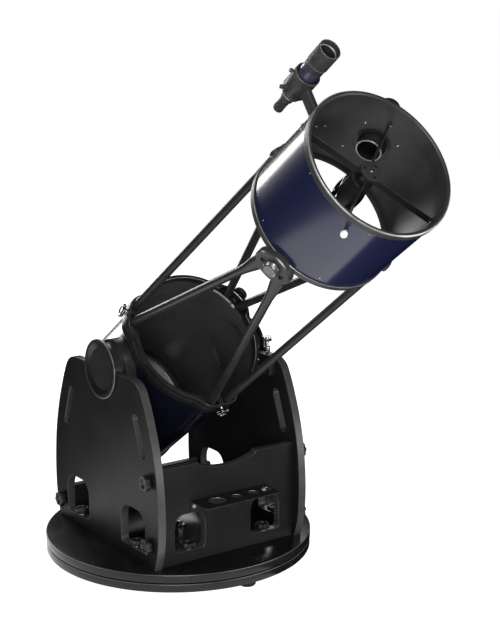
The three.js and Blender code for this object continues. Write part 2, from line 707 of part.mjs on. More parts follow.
// ---- focuser ----------------------------------------------------------------------------------
const DRAW = { outer: 36, inner: 31, start: 172, shoulder: 335, end: 363, neck: 28, mouth: 25.6 };
const AXLE = { radius: 4, height: 240 };
const axleAside = DRAW.outer + AXLE.radius + GAP;
const saddle = block(-66, 66, -66, 66, 180, 217);
const neck = disc(52, 214, 268, 20);
const bore = disc(DRAW.outer + GAP, 150, 300, 24);
const axleHole = rod(
  AXLE.radius + GAP, [-70, axleAside, AXLE.height], [70, axleAside, AXLE.height], BORE_SIDES);
const skin = disc(TUBE.outer + GAP, UPPER.rear, UPPER.front);
const focuserBody = facingOut(cut(joined(saddle, neck), bore, axleHole), FOCUSER.angle, FOCUSER.along);
addPart(tube, 'focuser_body', cut(focuserBody, skin), BLACK_METAL);

const drawtube = ringOf([
  [DRAW.inner, DRAW.start],
  [DRAW.outer, DRAW.start],
  [DRAW.outer, DRAW.shoulder],
  [DRAW.neck, DRAW.shoulder + 3],
  [DRAW.neck, DRAW.end],
  [DRAW.mouth, DRAW.end],
  [DRAW.mouth, DRAW.shoulder],
  [DRAW.inner, DRAW.shoulder - 3],
], 24);
addPart(tube, 'focuser_drawtube', facingOut(drawtube, FOCUSER.angle, FOCUSER.along), BLACK_METAL);

const focusWheel = joined(
  disc(AXLE.radius, -90, 90, 8),
  disc(22, 72, 92, 16),
  disc(22, -92, -72, 16),
);
focusWheel.rotateY(Math.PI / 2);
focusWheel.translate(0, axleAside, AXLE.height);
addPart(tube, 'focuser_knobs', facingOut(focusWheel, FOCUSER.angle, FOCUSER.along), BLACK_PLASTIC);

// ---- small hand knob on the upper tube --------------------------------------------------------
const guideKnob = turned([
  [0, TUBE.outer + GAP],
  [5, TUBE.outer + GAP],
  [4.5, TUBE.outer + 11],
  [7, TUBE.outer + 12.5],
  [8.8, TUBE.outer + 16],
  [8.8, TUBE.outer + 23],
  [6, TUBE.outer + 27.5],
  [0, TUBE.outer + 29],
], 10);
addPart(tube, 'guide_knob', facingOut(guideKnob, 225.4, 1119.5), WHITE_PLASTIC);

// ---- finder -----------------------------------------------------------------------------------
const shoeBlank = block(-20, 20, -32, 32, 190, 222);
const shoeSlot = block(-10.4, 10.4, -40, 40, 210, 230);
const finderShoe = facingOut(cut(shoeBlank, shoeSlot), FINDER.angle, FINDER.along);
addPart(tube, 'finder_shoe', cut(finderShoe, skin), STEEL);

const dovetail = block(-10, 10, -30, 30, 210.4, 226);
const stalk = block(-8, 8, -18, 18, 224, FINDER.height - 33);
const collar = tubeOf(36, 27, -36, 36, 20);
collar.rotateX(Math.PI / 2);
collar.translate(0, 0, FINDER.height);
const bracket = facingOut(joined(dovetail, stalk, collar), FINDER.angle, FINDER.along);
addPart(tube, 'finder_bracket', bracket, BLACK_METAL);

const finderTube = ringOf([
  [13, 932],
  [18, 932],
  [18, 948],
  [26.5, 962],
  [26.5, 1088],
  [30.5, 1094],
  [30.5, 1158],
  [28, 1158],
  [28, 1141],
  [24, 1139],
  [24, 975],
  [13, 955],
], 20);
finderTube.translate(0, FINDER.height, 0);
addPart(tube, 'finder_tube', finderTube, BLACK_METAL);

const finderEyepiece = turned([
  [0, 886],
  [9, 886],
  [12, 882],
  [14.5, 882],
  [14.5, 928],
  [12.6, 930],
  [12.6, 946],
  [0, 946],
], 12);
finderEyepiece.translate(0, FINDER.height, 0);
addPart(tube, 'finder_eyepiece', finderEyepiece, BLACK_PLASTIC);

export default telescope;
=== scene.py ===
"""Looks of a truss-tube telescope on a rocker box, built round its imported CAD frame.

Sizes in this file are in millimetres, and meshes are made in metres.
The frame has its origin on the azimuth axis, +Z up, and the tube leans towards -Y.
"""

import json
import math

import bmesh
import bpy
from mathutils import Matrix, Vector


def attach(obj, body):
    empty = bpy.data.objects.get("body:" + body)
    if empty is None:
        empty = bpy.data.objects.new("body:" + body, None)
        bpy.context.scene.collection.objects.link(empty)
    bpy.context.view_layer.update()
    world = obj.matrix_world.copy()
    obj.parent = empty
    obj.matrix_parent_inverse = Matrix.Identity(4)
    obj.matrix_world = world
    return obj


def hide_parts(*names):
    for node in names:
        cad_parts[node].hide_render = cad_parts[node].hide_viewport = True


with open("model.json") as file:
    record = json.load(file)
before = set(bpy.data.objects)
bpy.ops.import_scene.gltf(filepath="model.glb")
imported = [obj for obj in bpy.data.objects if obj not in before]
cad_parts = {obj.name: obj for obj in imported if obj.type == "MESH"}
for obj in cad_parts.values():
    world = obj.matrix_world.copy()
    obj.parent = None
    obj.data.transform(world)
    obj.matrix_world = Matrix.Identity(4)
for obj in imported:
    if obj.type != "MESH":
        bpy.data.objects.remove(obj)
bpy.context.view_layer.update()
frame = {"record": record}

MM = 0.001
TAU = 2 * math.pi
AXIS_HEIGHT = 601
TUBE_ALTITUDE = math.radians(35.7)

BODY_OF = {
    node: body
    for body, nodes in frame["record"]["behaviour"]["bodies"].items()
    for node in nodes
}


# ---- materials --------------------------------------------------------------------------------
def grey(level, tint=0.0):
    """A colour from a brightness; a positive tint leans it to blue."""
    return (level * (1 - tint), level * (1 - tint * 0.5), level * (1 + tint), 1)


def finish(
    name, colour, roughness, metallic=0.0, coat=0.0, coat_roughness=0.1, specular=0.5,
    mottle=(18.0, 0.25), grain=(900.0, 0.04), wear_and_sheen=None, streaks=(1.0, 1.0, 1.0), roughness_spread=0.08,
):
    """A procedural material: uneven colour, uneven roughness, fine grain and worn edges.

    mottle is (scale, share of brightness), grain is (scale, bump depth), wear_and_sheen is (colour,
    strength) and streaks stretches the grain along the axes. The lighter edges are partly wear from rubbing
    and partly a painted highlight.
    """
    made = bpy.data.materials.new(name)
    made.use_nodes = True
    nodes, links = made.node_tree.nodes, made.node_tree.links

    def wire(node, sockets):
        """Sets sockets to plain values, or links them to the outputs of other nodes."""
        for socket, value in sockets.items():
            if isinstance(value, bpy.types.NodeSocket):
                links.new(value, node.inputs[socket])
            else:
                node.inputs[socket].default_value = value
        return node

    def add(kind, sockets, **settings):
        node = nodes.new("ShaderNode" + kind)
        for setting, value in settings.items():
            setattr(node, setting, value)
        return wire(node, sockets)

    place = add("TexCoord", {}).outputs["Object"]
    stretched = add("Mapping", {"Vector": place, "Scale": streaks}).outputs["Vector"]
    broad = add("TexNoise", {"Vector": place, "Scale": mottle[0], "Detail": 5}).outputs["Fac"]
    fine = add("TexNoise", {"Vector": stretched, "Scale": grain[0], "Detail": 3}).outputs["Fac"]

    tone = add("ValToRGB", {"Fac": broad})
    dark, light = tone.color_ramp.elements
    dark.position, light.position = 0.3, 0.7
    dark.color = [c * (1 - mottle[1]) for c in colour[:3]] + [1]
    light.color = [min(1, c * (1 + mottle[1])) for c in colour[:3]] + [1]
    painted = tone.outputs["Color"]

    # Edges turn towards the lighter colour: partly wear from rubbing, partly a painted highlight along the
    # edges.
    if wear_and_sheen:
        rounded = add("Bevel", {"Radius": 0.0016}, samples=6).outputs["Normal"]
        flat = add("NewGeometry", {}).outputs["Normal"]
        agreement = add("VectorMath", {0: rounded, 1: flat}, operation="DOT_PRODUCT").outputs["Value"]
        edge = add("MapRange", {"Value": agreement, "From Min": 0.99, "From Max": 0.82, "To Max": wear_and_sheen[1]})
        patchy = add("Math", {0: edge.outputs["Result"], 1: broad}, operation="MULTIPLY").outputs["Value"]
        edge_wear_and_sheen = add("Mix", {"Factor": patchy, "A": painted, "B": wear_and_sheen[0]}, data_type="RGBA")
        painted = edge_wear_and_sheen.outputs["Result"]

    rough = add("MapRange", {
        "Value": broad,
        "To Min": max(0.02, roughness - roughness_spread),
        "To Max": min(1, roughness + roughness_spread),
    })
    bump = add("Bump", {"Strength": grain[1], "Distance": 0.0006, "Height": fine})
    wire(nodes["Principled BSDF"], {
        "Metallic": metallic, "Coat Weight": coat, "Coat Roughness": coat_roughness,
        "Specular IOR Level": specular, "Base Color": painted, "Roughness": rough.outputs["Result"],
        "Normal": bump.outputs["Normal"],
    })
    return made


# The lighter edge colour for laminate and plastic: partly wear from rubbing, partly a painted edge
# highlight.
RUBBED_AND_SHEEN = grey(0.12)
LAMINATE = finish(
    "laminate", grey(0.0095), 0.4, mottle=(9, 0.22), grain=(1400, 0.14), wear_and_sheen=(RUBBED_AND_SHEEN, 0.6),
    specular=0.17)
# The band on the boards' edges is lighter than their faces: partly its own tone, partly a painted sheen
# where light catches the curved edges.
EDGE_BAND = finish(
    "edge_band", grey(0.045), 0.34, mottle=(40, 0.16), grain=(700, 0.12), streaks=(1, 1, 4), specular=0.4)
RUBBER = finish("rubber", grey(0.01), 0.8, mottle=(60, 0.3), grain=(900, 0.3), specular=0.2)
STEEL = finish(
    "turned_steel", grey(0.42, 0.02), 0.26, metallic=1, mottle=(45, 0.15), grain=(1500, 0.08),
    streaks=(1, 1, 9))
CAP_STEEL = finish(
    "satin_steel", grey(0.15), 0.36, metallic=0.6, mottle=(60, 0.15), grain=(1500, 0.1),
    wear_and_sheen=(grey(0.7), 0.9))
# Bright metal: the clasp ring on the finder is bright metal, and the thin bands along edges that use it are
# painted highlights.
BRIGHT_METAL_AND_HIGHLIGHT = finish("bright_metal_and_painted_highlight", grey(0.3), 0.34, metallic=0.5, mottle=(30, 0.35), grain=(900, 0.1))
STRIP_METAL = finish("strip_metal", grey(0.42), 0.35, metallic=0.3, mottle=(60, 0.3), grain=(1500, 0.15))
LINER = finish("liner", (0.5, 0.48, 0.43, 1), 0.45, mottle=(80, 0.08), grain=(500, 0.05))
BLACK_PLASTIC = finish(
    "moulded_plastic", grey(0.011), 0.34, mottle=(70, 0.2), grain=(1600, 0.25), wear_and_sheen=(RUBBED_AND_SHEEN, 0.5),
    specular=0.4)
SOCKET_BLACK = finish("black_screw", grey(0.006), 0.35, metallic=0.3, mottle=(80, 0.3), grain=(1200, 0.1))
BLACK_PAINT = finish(
    "black_paint", grey(0.012), 0.32, mottle=(25, 0.2), grain=(1100, 0.14), wear_and_sheen=(grey(0.25), 0.5),
    specular=0.3)
ANODISED = finish(
    "black_anodised", grey(0.02, 0.02), 0.34, metallic=0.2, mottle=(22, 0.18), grain=(1500, 0.04),
    wear_and_sheen=(grey(0.3), 0.6), streaks=(1, 1, 5), specular=0.4)
DRUM_BLACK = finish(
    "drum_black", grey(0.03), 0.34, metallic=0.4, mottle=(30, 0.14), grain=(1300, 0.12),
    wear_and_sheen=(grey(0.3), 0.7), specular=0.4)
CASTING = finish(
    "grey_casting", grey(0.04), 0.36, metallic=0.3, mottle=(30, 0.16), grain=(1000, 0.2),
    wear_and_sheen=(grey(0.3), 0.7), specular=0.35)
NAVY = finish(
    "navy_paint", (0.0075, 0.0095, 0.034, 1), 0.4, coat=1.0, coat_roughness=0.17, mottle=(7, 0.1),
    grain=(2600, 0.03), roughness_spread=0.04, specular=0.1)
TUBE_BLACK = finish("tube_inside", grey(0.034), 0.45, mottle=(12, 0.2), grain=(800, 0.16), specular=0.4)
MIRROR = finish(
    "mirror_glass", grey(0.72, 0.01), 0.04, metallic=1, mottle=(3, 0.02), grain=(300, 0.0),
    roughness_spread=0.015)
WHITE_PLASTIC = finish("white_plastic", grey(0.82), 0.25, coat=0.3, mottle=(60, 0.04), grain=(900, 0.05))
LENS = finish(
    "coated_lens", (0.02, 0.012, 0.05, 1), 0.06, coat=1, coat_roughness=0.03, mottle=(30, 0.3),
    grain=(300, 0.0), roughness_spread=0.02)
RIM_BAND = finish(
    "rim_band", grey(0.008), 0.26, mottle=(14, 0.35), grain=(500, 0.06), streaks=(1, 1, 4), specular=0.3)
TURNTABLE_TOP = finish(
    "turntable_laminate", grey(0.008), 0.24, mottle=(9, 0.22), grain=(1400, 0.05), wear_and_sheen=(RUBBED_AND_SHEEN, 0.6),
    specular=0.3)
# A lighter band along the upper corner of the rims: a painted highlight.
RIM_CORNER_HIGHLIGHT = finish("rim_corner_highlight", grey(0.07), 0.3, mottle=(10, 0.5), grain=(900, 0.12), specular=0.5)
# A darker copy of the navy paint for the lower tube: painted shade.
SHADED_NAVY = finish(
    "navy_paint_shaded", (0.0052, 0.006, 0.015, 1), 0.4, coat=1.0, coat_roughness=0.17, mottle=(7, 0.1),
    grain=(2600, 0.03), roughness_spread=0.04, specular=0.1)
# A lighter copy of the tube lining for the lower tube: painted light on the inside where the lamps reach it.
LIT_LOWER_INSIDE = finish(
    "lower_tube_inside_lit", grey(0.052), 0.45, mottle=(6, 0.3), grain=(800, 0.16), specular=0.4)
CONE_GREY = finish(
    "cone_grey", grey(0.012), 0.3, metallic=0.3, mottle=(12, 0.3), grain=(1300, 0.1), specular=0.5)
CLAMP_STEEL = finish(
    "clamp_steel", grey(0.26), 0.24, metallic=1, mottle=(60, 0.25), grain=(1500, 0.1), wear_and_sheen=(grey(0.7), 0.8))
CAP_CHROME = finish("cap_chrome", grey(0.3), 0.3, metallic=0.9, mottle=(50, 0.3), grain=(1500, 0.05))
# A lighter, shinier metal for the rims of the connector plates: a painted highlight along their bevel.
PLATE_BEVEL_HIGHLIGHT = finish("plate_bevel_highlight", grey(0.09), 0.26, metallic=0.7, mottle=(50, 0.3), grain=(1000, 0.1))
FINDER_BLUE = finish(
    "finder_blue", (0.036, 0.038, 0.072, 1), 0.36, coat=0.6, coat_roughness=0.15, mottle=(40, 0.3),
    grain=(1500, 0.05))
BRACKET_BLACK = finish(
    "bracket_black", grey(0.036), 0.4, mottle=(30, 0.2), grain=(1300, 0.06), wear_and_sheen=(grey(0.3), 0.5),
    specular=0.35)
FINDER_BLACK = finish(
    "finder_black", grey(0.034), 0.5, mottle=(40, 0.3), grain=(1500, 0.02), streaks=(1, 1, 5), specular=0.35)


# ---- shapes: each is (points, faces, material number of each face) ------------------------------
def from_axis(point):
    return math.hypot(point.x, point.y)


def turned(profile, sides=72, closed=False, mat=0):
    """Turns (radius, z) points about Z. A third value is a function of angle that scales the radius."""
    points, rings, faces = [], [], []
    for radius, z, *wave in profile:
        if radius < 1e-6:
            rings.append([len(points)] * sides)
            points.append(Vector((0, 0, z)))
            continue
        rings.append(list(range(len(points), len(points) + sides)))
        for k in range(sides):
            angle = TAU * k / sides
            reach = radius * (wave[0](angle) if wave else 1)
            points.append(Vector((reach * math.cos(angle), reach * math.sin(angle), z)))
    following = rings[1:] + (rings[:1] if closed else [])
    for low, high in zip(rings, following):
        for k in range(sides):
            j = (k + 1) % sides
            face = list(dict.fromkeys([low[k], low[j], high[j], high[k]]))
            if len(face) > 2:
                faces.append(face)
    return points, faces, [mat] * len(faces)


def eased(profile, radius, closed=False):
    """Rounds the corners of a profile for turned(), keeping each point's wave."""
    result = []
    last = len(profile) - 1
    for i, (r, z, *wave) in enumerate(profile):
        if not closed and i in (0, last):
            result.append((r, z, *wave))
            continue
        corner = Vector((r, z))
        ends = []
        for other in (profile[i - 1], profile[(i + 1) % len(profile)]):
            way = Vector(other[:2]) - corner
            ends.append(corner + way.normalized() * min(radius, way.length * 0.45))
        middle = corner * 0.5 + ends[0] * 0.25 + ends[1] * 0.25
        result.extend((p.x, p.y, *wave) for p in (ends[0], middle, ends[1]))
    return result


def ring(inner, outer, low, high, ease=1.0, sides=128, mat=0):
    """A softened ring about Z."""
    corners = [(inner, low), (outer, low), (outer, high), (inner, high)]
    return turned(eased(corners, ease, closed=True), sides, True, mat)


def disc(radius, low, high, ease=1.0, sides=48, mat=0):
    """A softened round plate or rod along Z."""
    return turned(eased([(0, low), (radius, low), (radius, high), (0, high)], ease), sides, False, mat)


def lobes(count, depth):
    """A wave for turned() that makes evenly spaced lobes."""
    return lambda angle: 1 - depth * (0.5 - 0.5 * math.cos(count * angle))


def hexagon(angle):
    """A wave for turned() whose corners lie on the radius."""
    return math.cos(math.pi / 6) / math.cos(angle % (math.pi / 3) - math.pi / 6)


def rounded_box(width, length, radius, steps=5):
    """The outline of a rectangle with rounded corners, centred on the origin."""
    outline = []
    for quarter in range(4):
        sx, sy = [(1, 1), (-1, 1), (-1, -1), (1, -1)][quarter]
        for k in range(steps + 1):
            angle = math.pi / 2 * (quarter + k / steps)
            outline.append((
                sx * (width / 2 - radius) + radius * math.cos(angle),
                sy * (length / 2 - radius) + radius * math.sin(angle),
            ))
    return outline


def oval(half_width, half_length, steps=64, centre=(0, 0)):
    angles = [TAU * k / steps for k in range(steps)]
    return [(centre[0] + half_width * math.cos(a), centre[1] + half_length * math.sin(a)) for a in angles]


def shrunk(outline, amount):
    """Moves a counter-clockwise convex outline inwards."""
    result = []
    for i, here in enumerate(outline):
        before, after = Vector(outline[i - 1]), Vector(outline[(i + 1) % len(outline)])
        way = (after - before).normalized()
        result.append((here[0] - way.y * amount, here[1] + way.x * amount))
    return result


def dense(outline, step=5):
    """Adds points along the straight sides of an outline."""
    result = []
    for here, following in zip(outline, outline[1:] + outline[:1]):
        count = max(1, round(math.dist(here, following) / step))
        result += [tuple(Vector(here).lerp(Vector(following), k / count)) for k in range(count)]
    return result


def slab(outline, low, high, ease=1.0):
    """A plate of a convex outline with softened edges, its ends filled by shrinking rings."""
    centre = Vector((sum(p[0] for p in outline), sum(p[1] for p in outline))) / len(outline)
    shares = (0.25, 0.5, 0.75)

    def shrink_to_centre(source, share):
        return [tuple(centre + (Vector(p) - centre) * share) for p in source]

    inset = shrunk(outline, ease)
    stack = [(shrink_to_centre(inset, share), low) for share in shares]
    stack += [(inset, low), (outline, low + ease), (outline, high - ease), (inset, high)]
    stack += [(shrink_to_centre(inset, share), high) for share in reversed(shares)]
    count = len(outline)
    points = [Vector((x, y, z)) for loop, z in stack for x, y in loop]
    faces = [list(range(count)), list(range(len(points) - count, len(points)))]
    for level in range(len(stack) - 1):
        for k in range(count):
            j = (k + 1) % count
            base = level * count
            faces.append([base + k, base + j, base + count + j, base + count + k])
    return points, faces, [0] * len(faces)


def block(x, y, z, ease=1.5, corner=2.0):
    """A box with softened edges between the pairs of limits x, y and z."""
    outline = dense(rounded_box(x[1] - x[0], y[1] - y[0], corner), 12)
    shape = slab(outline, z[0], z[1], ease)
    return moved(shape, Matrix.Translation(((x[0] + x[1]) / 2, (y[0] + y[1]) / 2, 0)))


def moved(shape, matrix):
    points, faces, mats = shape
    return [matrix @ p for p in points], faces, mats


def reshaped(shape, change):
    """Sends each point through a function."""
    points, faces, mats = shape
    return [Vector(change(p)) for p in points], faces, mats


def recoloured(shape, mat, test):
    """Gives the faces whose centre passes the test another material."""
    points, faces, mats = shape
    centres = (sum((points[i] for i in face), Vector()) / len(face) for face in faces)
    return points, faces, [mat if test(c) else old for c, old in zip(centres, mats)]


def together(*shapes):
    """Joins shapes into one list of faces, without a boolean."""
    points, faces, mats = [], [], []
    for more_points, more_faces, more_mats in shapes:
        start = len(points)
        points += more_points
        faces += [[i + start for i in face] for face in more_faces]
        mats += more_mats
    return points, faces, mats


def as_mesh(name, shape, scale=1.0):
    """A mesh with double points merged and its faces pointing out."""
    points, faces, mats = shape
    mesh = bpy.data.meshes.new(name)
    mesh.from_pydata([p * scale for p in points], [], faces)
    mesh.polygons.foreach_set("material_index", mats)
    bm = bmesh.new()
    bm.from_mesh(mesh)
    bmesh.ops.remove_doubles(bm, verts=bm.verts, dist=0.002 * scale)
    bmesh.ops.recalc_face_normals(bm, faces=bm.faces)
    bm.to_mesh(mesh)
    bm.free()
    return mesh


def shape_of(obj):
    """The shape that an object's modifiers or curve give, after which the object is removed."""
    bpy.context.view_layer.update()
    evaluated = obj.evaluated_get(bpy.context.evaluated_depsgraph_get())
    mesh = bpy.data.meshes.new_from_object(evaluated)
    points = [v.co.copy() for v in mesh.vertices]
    faces = [list(p.vertices) for p in mesh.polygons]
    mats = [p.material_index for p in mesh.polygons]
    bpy.data.objects.remove(obj)
    return points, faces, mats


def carved(shape, tool, operation="DIFFERENCE"):
    """Cuts the tool out of the shape, or keeps what lies in both."""
    objects = []
    for name, source in (("carved", shape), ("tool", tool)):
        made = bpy.data.objects.new(name, as_mesh(name, source))
        bpy.context.scene.collection.objects.link(made)
        objects.append(made)
    cut = objects[0].modifiers.new("cut", "BOOLEAN")
    cut.operation = operation
    cut.solver = "EXACT"
    cut.object = objects[1]
    result = shape_of(objects[0])
    bpy.data.objects.remove(objects[1])
    return result


def board(outline, holes, thickness, ease=1.2):
    """A flat board with holes, lying in XY about Z = 0; its edges have material 1."""
    curve = bpy.data.curves.new("board", "CURVE")
    curve.dimensions = "2D"
    curve.fill_mode = "BOTH"
    curve.extrude = thickness / 2 - ease
    curve.bevel_depth = ease
    curve.bevel_resolution = 0
    curve.offset = -ease
    for loop in [outline, *holes]:
        spline = curve.splines.new("POLY")
        spline.points.add(len(loop) - 1)
        for point, (x, y) in zip(spline.points, loop):
            point.co = (x, y, 0, 1)
        spline.use_cyclic_u = True
    made = bpy.data.objects.new("board", curve)
    bpy.context.scene.collection.objects.link(made)
    points, faces, _ = shape_of(made)
    flat = thickness / 2 - 0.01
    mats = [0 if all(abs(points[i].z) > flat for i in face) else 1 for face in faces]
    return points, faces, mats


SHARP_EDGE = math.radians(32)


def piece(name, shape, materials, node=None, body=None):
    """Puts a shape into the scene as one piece, for a CAD node or as trim on a body."""
    mesh = as_mesh(name, shape, MM)
    for face in mesh.polygons:
        face.use_smooth = True
    bm = bmesh.new()
    bm.from_mesh(mesh)
    for edge in bm.edges:
        edge.smooth = len(edge.link_faces) == 2 and edge.calc_face_angle(0) < SHARP_EDGE
    bm.to_mesh(mesh)
    bm.free()
    for material in materials:
        mesh.materials.append(material)
    made = bpy.data.objects.new(name, mesh)
    bpy.context.scene.collection.objects.link(made)
    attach(made, body or BODY_OF[node])
    if node:
        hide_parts(node)
    return made


def stands_for(node, shape, *materials):
    """Makes the piece that takes the place of one CAD node."""
    return piece(f"{node}_look", shape, materials, node=node)


# ---- places -----------------------------------------------------------------------------------
def basis(x, y, z, origin=(0, 0, 0)):
    """The frame with these three axes."""
    matrix = Matrix((x, y, z)).transposed().to_4x4()
    matrix.translation = origin
    return matrix


TUBE = basis(
    (1, 0, 0),
    (0, math.sin(TUBE_ALTITUDE), math.cos(TUBE_ALTITUDE)),
    (0, -math.cos(TUBE_ALTITUDE), math.sin(TUBE_ALTITUDE)),
    (0, 0, AXIS_HEIGHT),
)


def facing(angle, along):
    """The frame in which Z points out of the tube at an angle and Y runs towards the tube's rear."""
    a = math.radians(angle)
    out = Vector((math.cos(a), math.sin(a), 0))
    back_round = Vector((math.sin(a), -math.cos(a), 0))
    return TUBE @ basis(back_round, (0, 0, -1), out, (0, 0, along))


def spot(along, out, angle, sideways=0):
    """A point in the tube's frame, from its distance along and out from the tube's axis."""
    a = math.radians(angle)
    return Vector((
        out * math.cos(a) - sideways * math.sin(a),
        out * math.sin(a) + sideways * math.cos(a),
        along,
    ))


def on_wall(shape, radius, below):
    """Fits the underside of a shape in a facing() frame to the curve of the tube."""
    return reshaped(
        shape, lambda p: (p.x, p.y, math.sqrt(max(0, radius**2 - p.x**2))) if p.z < below else p)


OUT_LEFT = basis((0, 0, 1), (0, 1, 0), (-1, 0, 0))
OUT_RIGHT = basis((0, 0, -1), (0, 1, 0), (1, 0, 0))
OUT_FRONT = basis((1, 0, 0), (0, 0, 1), (0, -1, 0))
UPRIGHT_ACROSS = basis((0, 1, 0), (0, 0, 1), (1, 0, 0))
UPSIDE_DOWN = Matrix.Rotation(math.pi, 4, "X")


def spun(degrees):
    """A turn about Z."""
    return Matrix.Rotation(math.radians(degrees), 4, "Z")


def pointing(direction):
    """The shortest turn that brings Z to a direction."""
    return Vector((0, 0, 1)).rotation_difference(direction).to_matrix().to_4x4()


def at(x, y, z, turn=Matrix.Identity(4)):
    """A place, with a turn made before the move."""
    return Matrix.Translation((x, y, z)) @ turn


# ---- small parts that repeat ------------------------------------------------------------------
def socket_screw(radius, height, mat=0):
    """A button-head screw with a hexagonal socket."""
    profile = [
        (0, -1), (radius, -1), (radius, height * 0.3), (radius * 0.86, height * 0.75),
        (radius * 0.56, height), (radius * 0.5, height, hexagon), (radius * 0.46, height * 0.2, hexagon),
        (0, height * 0.2),
    ]
    return turned(profile, 24, mat=mat)


def cross_screw(radius, height, mat=0):
    """A domed screw with a crossed recess."""
    def cross(angle):
        return 0.45 + 0.55 * abs(math.cos(2 * angle)) ** 3

    profile = [
        (0, -1), (radius, -1), (radius, height * 0.25), (radius * 0.85, height * 0.7),
        (radius * 0.6, height), (radius * 0.52, height, cross), (radius * 0.4, height * 0.3, cross),
        (0, height * 0.3),
    ]
    return turned(profile, 24, mat=mat)


LOBE_DEPTH = 0.16
SCREW_RADIUS = 4


def lobed_knob(radius, height, reach, count=7):
    """A moulded hand knob (material 0) standing on Z = 0, on a steel screw (material 1)."""
    wave = lobes(count, LOBE_DEPTH)
    head = eased([
        (0, 0), (radius * 0.42, 0), (radius * 0.44, 3), (radius * 0.84, 3.5, wave), (radius, 6, wave),
        (radius, height - 3, wave), (radius * 0.88, height, wave), (radius * 0.56, height),
        (radius * 0.5, height - 5), (0, height - 5),
    ], 1.2)
    return together(turned(head, 84), disc(SCREW_RADIUS, -reach, 1, 0.3, 24, mat=1))


def knurled(radius, low, high, teeth=40, mat=0, ease=1.4):
    """A wheel along Z with a toothed rim."""
    wave = lobes(teeth, 0.05)
    profile = [(0, low), (radius, low, wave), (radius, high, wave), (0, high)]
    return turned(eased(profile, ease), teeth * 4, mat=mat)


# ---- ground board and turntable ---------------------------------------------------------------
PIVOT_HOLE = 8.3
RIM_START = 412.5
CORNER_HEIGHT = 1.6


def round_board(radius, low, high):
    """A round board with a hole for the pivot, a banded rim (1) and a painted highlight along its upper
    corner (2).
    """
    corners = [(PIVOT_HOLE, low), (radius, low), (radius, high), (PIVOT_HOLE, high)]
    shape = turned(eased(corners, 2.2, closed=True), 256, closed=True)
    shape = recoloured(shape, 1, lambda c: from_axis(c) > RIM_START)
    return recoloured(shape, 2, lambda c: from_axis(c) > RIM_START and high - c.z < CORNER_HEIGHT)


stands_for("ground_board", round_board(415, 0.2, 25), LAMINATE, RIM_BAND, RIM_CORNER_HIGHLIGHT)
stands_for("turntable_board", round_board(416, 29.3, 54), TURNTABLE_TOP, RIM_BAND, RIM_CORNER_HIGHLIGHT)

FOOT_CIRCLE = 378
FOOT_ANGLES = {"foot_front": -90, "foot_right": 30, "foot_left": 150}
sole = turned(eased([
    (0, -13), (9, -13), (10.5, -18), (22, -18), (25.5, -14), (26, -6), (22, -0.3), (0, -0.3)], 1.2), 64)
foot = together(sole, moved(cross_screw(6.5, 3, mat=1), at(0, 0, -13.5, UPSIDE_DOWN)))
for name, angle in FOOT_ANGLES.items():
    stands_for(name, moved(foot, Matrix.Translation(spot(0, FOOT_CIRCLE, angle))), RUBBER, STEEL)

stands_for("azimuth_bearing", ring(130, 176, 25.3, 28.7, 0.6), STEEL)
bolt = together(
    turned([(0, 0), (14, 0, hexagon), (15, 1, hexagon), (15, 8, hexagon), (0, 8)], 48),
    disc(8, 7, 68, 1, 32),
    ring(8, 22, 54.3, 57, 0.6, 48),
    turned([(0, 57), (15, 57, hexagon), (15, 66, hexagon), (13.5, 67.5, hexagon), (0, 67.5)], 48),
)
stands_for("pivot_bolt", bolt, STEEL)


# ---- rocker box -------------------------------------------------------------------------------
def curve_through(points, steps=10):
    """A smooth line through points."""
    line = []
    padded = [points[0], *points, points[-1]]
    for p0, p1, p2, p3 in zip(padded, padded[1:], padded[2:], padded[3:]):
        for k in range(steps):
            t = k / steps
            line.append(tuple(
                0.5 * (2 * b + (c - a) * t + (2 * a - 5 * b + 4 * c - d) * t**2
                       + (3 * b - a - 3 * c + d) * t**3)
                for a, b, c, d in zip(p0, p1, p2, p3)
            ))
    line.append(tuple(points[-1]))
    return line


def bezier(*controls, steps=9):
    """Points on a Bezier curve, without its first point."""
    line = []
    for k in range(1, steps + 1):
        level = [Vector(c) for c in controls]
        while len(level) > 1:
            level = [a.lerp(b, k / steps) for a, b in zip(level, level[1:])]
        line.append(tuple(level[0]))
    return line


def arch(centre, half, low, high, flat):
    """A window with a flat sill and a domed head whose top is flat for a stretch."""
    corner, spring = 14, high - 46
    right = [(half - corner, low)]
    right += bezier((half - corner, low), (half, low), (half, low + corner))
    right += [(half, spring)]
    right += bezier((half, spring), (half - 1, high - 14), (flat + 18, high), (flat, high), steps=14)
    left = [(-x, z) for x, z in reversed(right)]
    return [(centre + x, z) for x, z in right + left]


def slot_hole(side):
    """A leaning slot with round ends."""
    upper, lower, radius = Vector((side * 192, 490)), Vector((side * 230, 391)), 14
    along = math.atan2(upper.y - lower.y, upper.x - lower.x)
    loop = []
    for centre, start in ((upper, along - math.pi / 2), (lower, along + math.pi / 2)):
        for k in range(17):
            angle = start + math.pi * k / 16
            loop.append((centre.x + radius * math.cos(angle), centre.y + radius * math.sin(angle)))
    return loop


PANEL_LOW, PANEL_TOP = 54.3, 604
PANEL_THICK = 26
NOTCH = 78.5


def side_outline():
    """A side panel, bulging at its edges, with a round notch for the altitude drum."""
    rise = [
        (289, PANEL_LOW), (307, 110), (314, 185), (312, 265), (302, 349), (281, 434), (249, 520), (229, 562)]
    half = curve_through(rise)
    half += bezier((229, 562), (210, PANEL_TOP), (163, PANEL_TOP), steps=12)
    half += [(NOTCH + 7, PANEL_TOP), (NOTCH + 1, PANEL_TOP - 3)]
    notch = [math.radians(-5 - 170 * k / 48) for k in range(49)]
    dip = [(NOTCH * math.cos(a), AXIS_HEIGHT + NOTCH * math.sin(a)) for a in notch]
    return half + dip + [(-x, z) for x, z in reversed(half)]


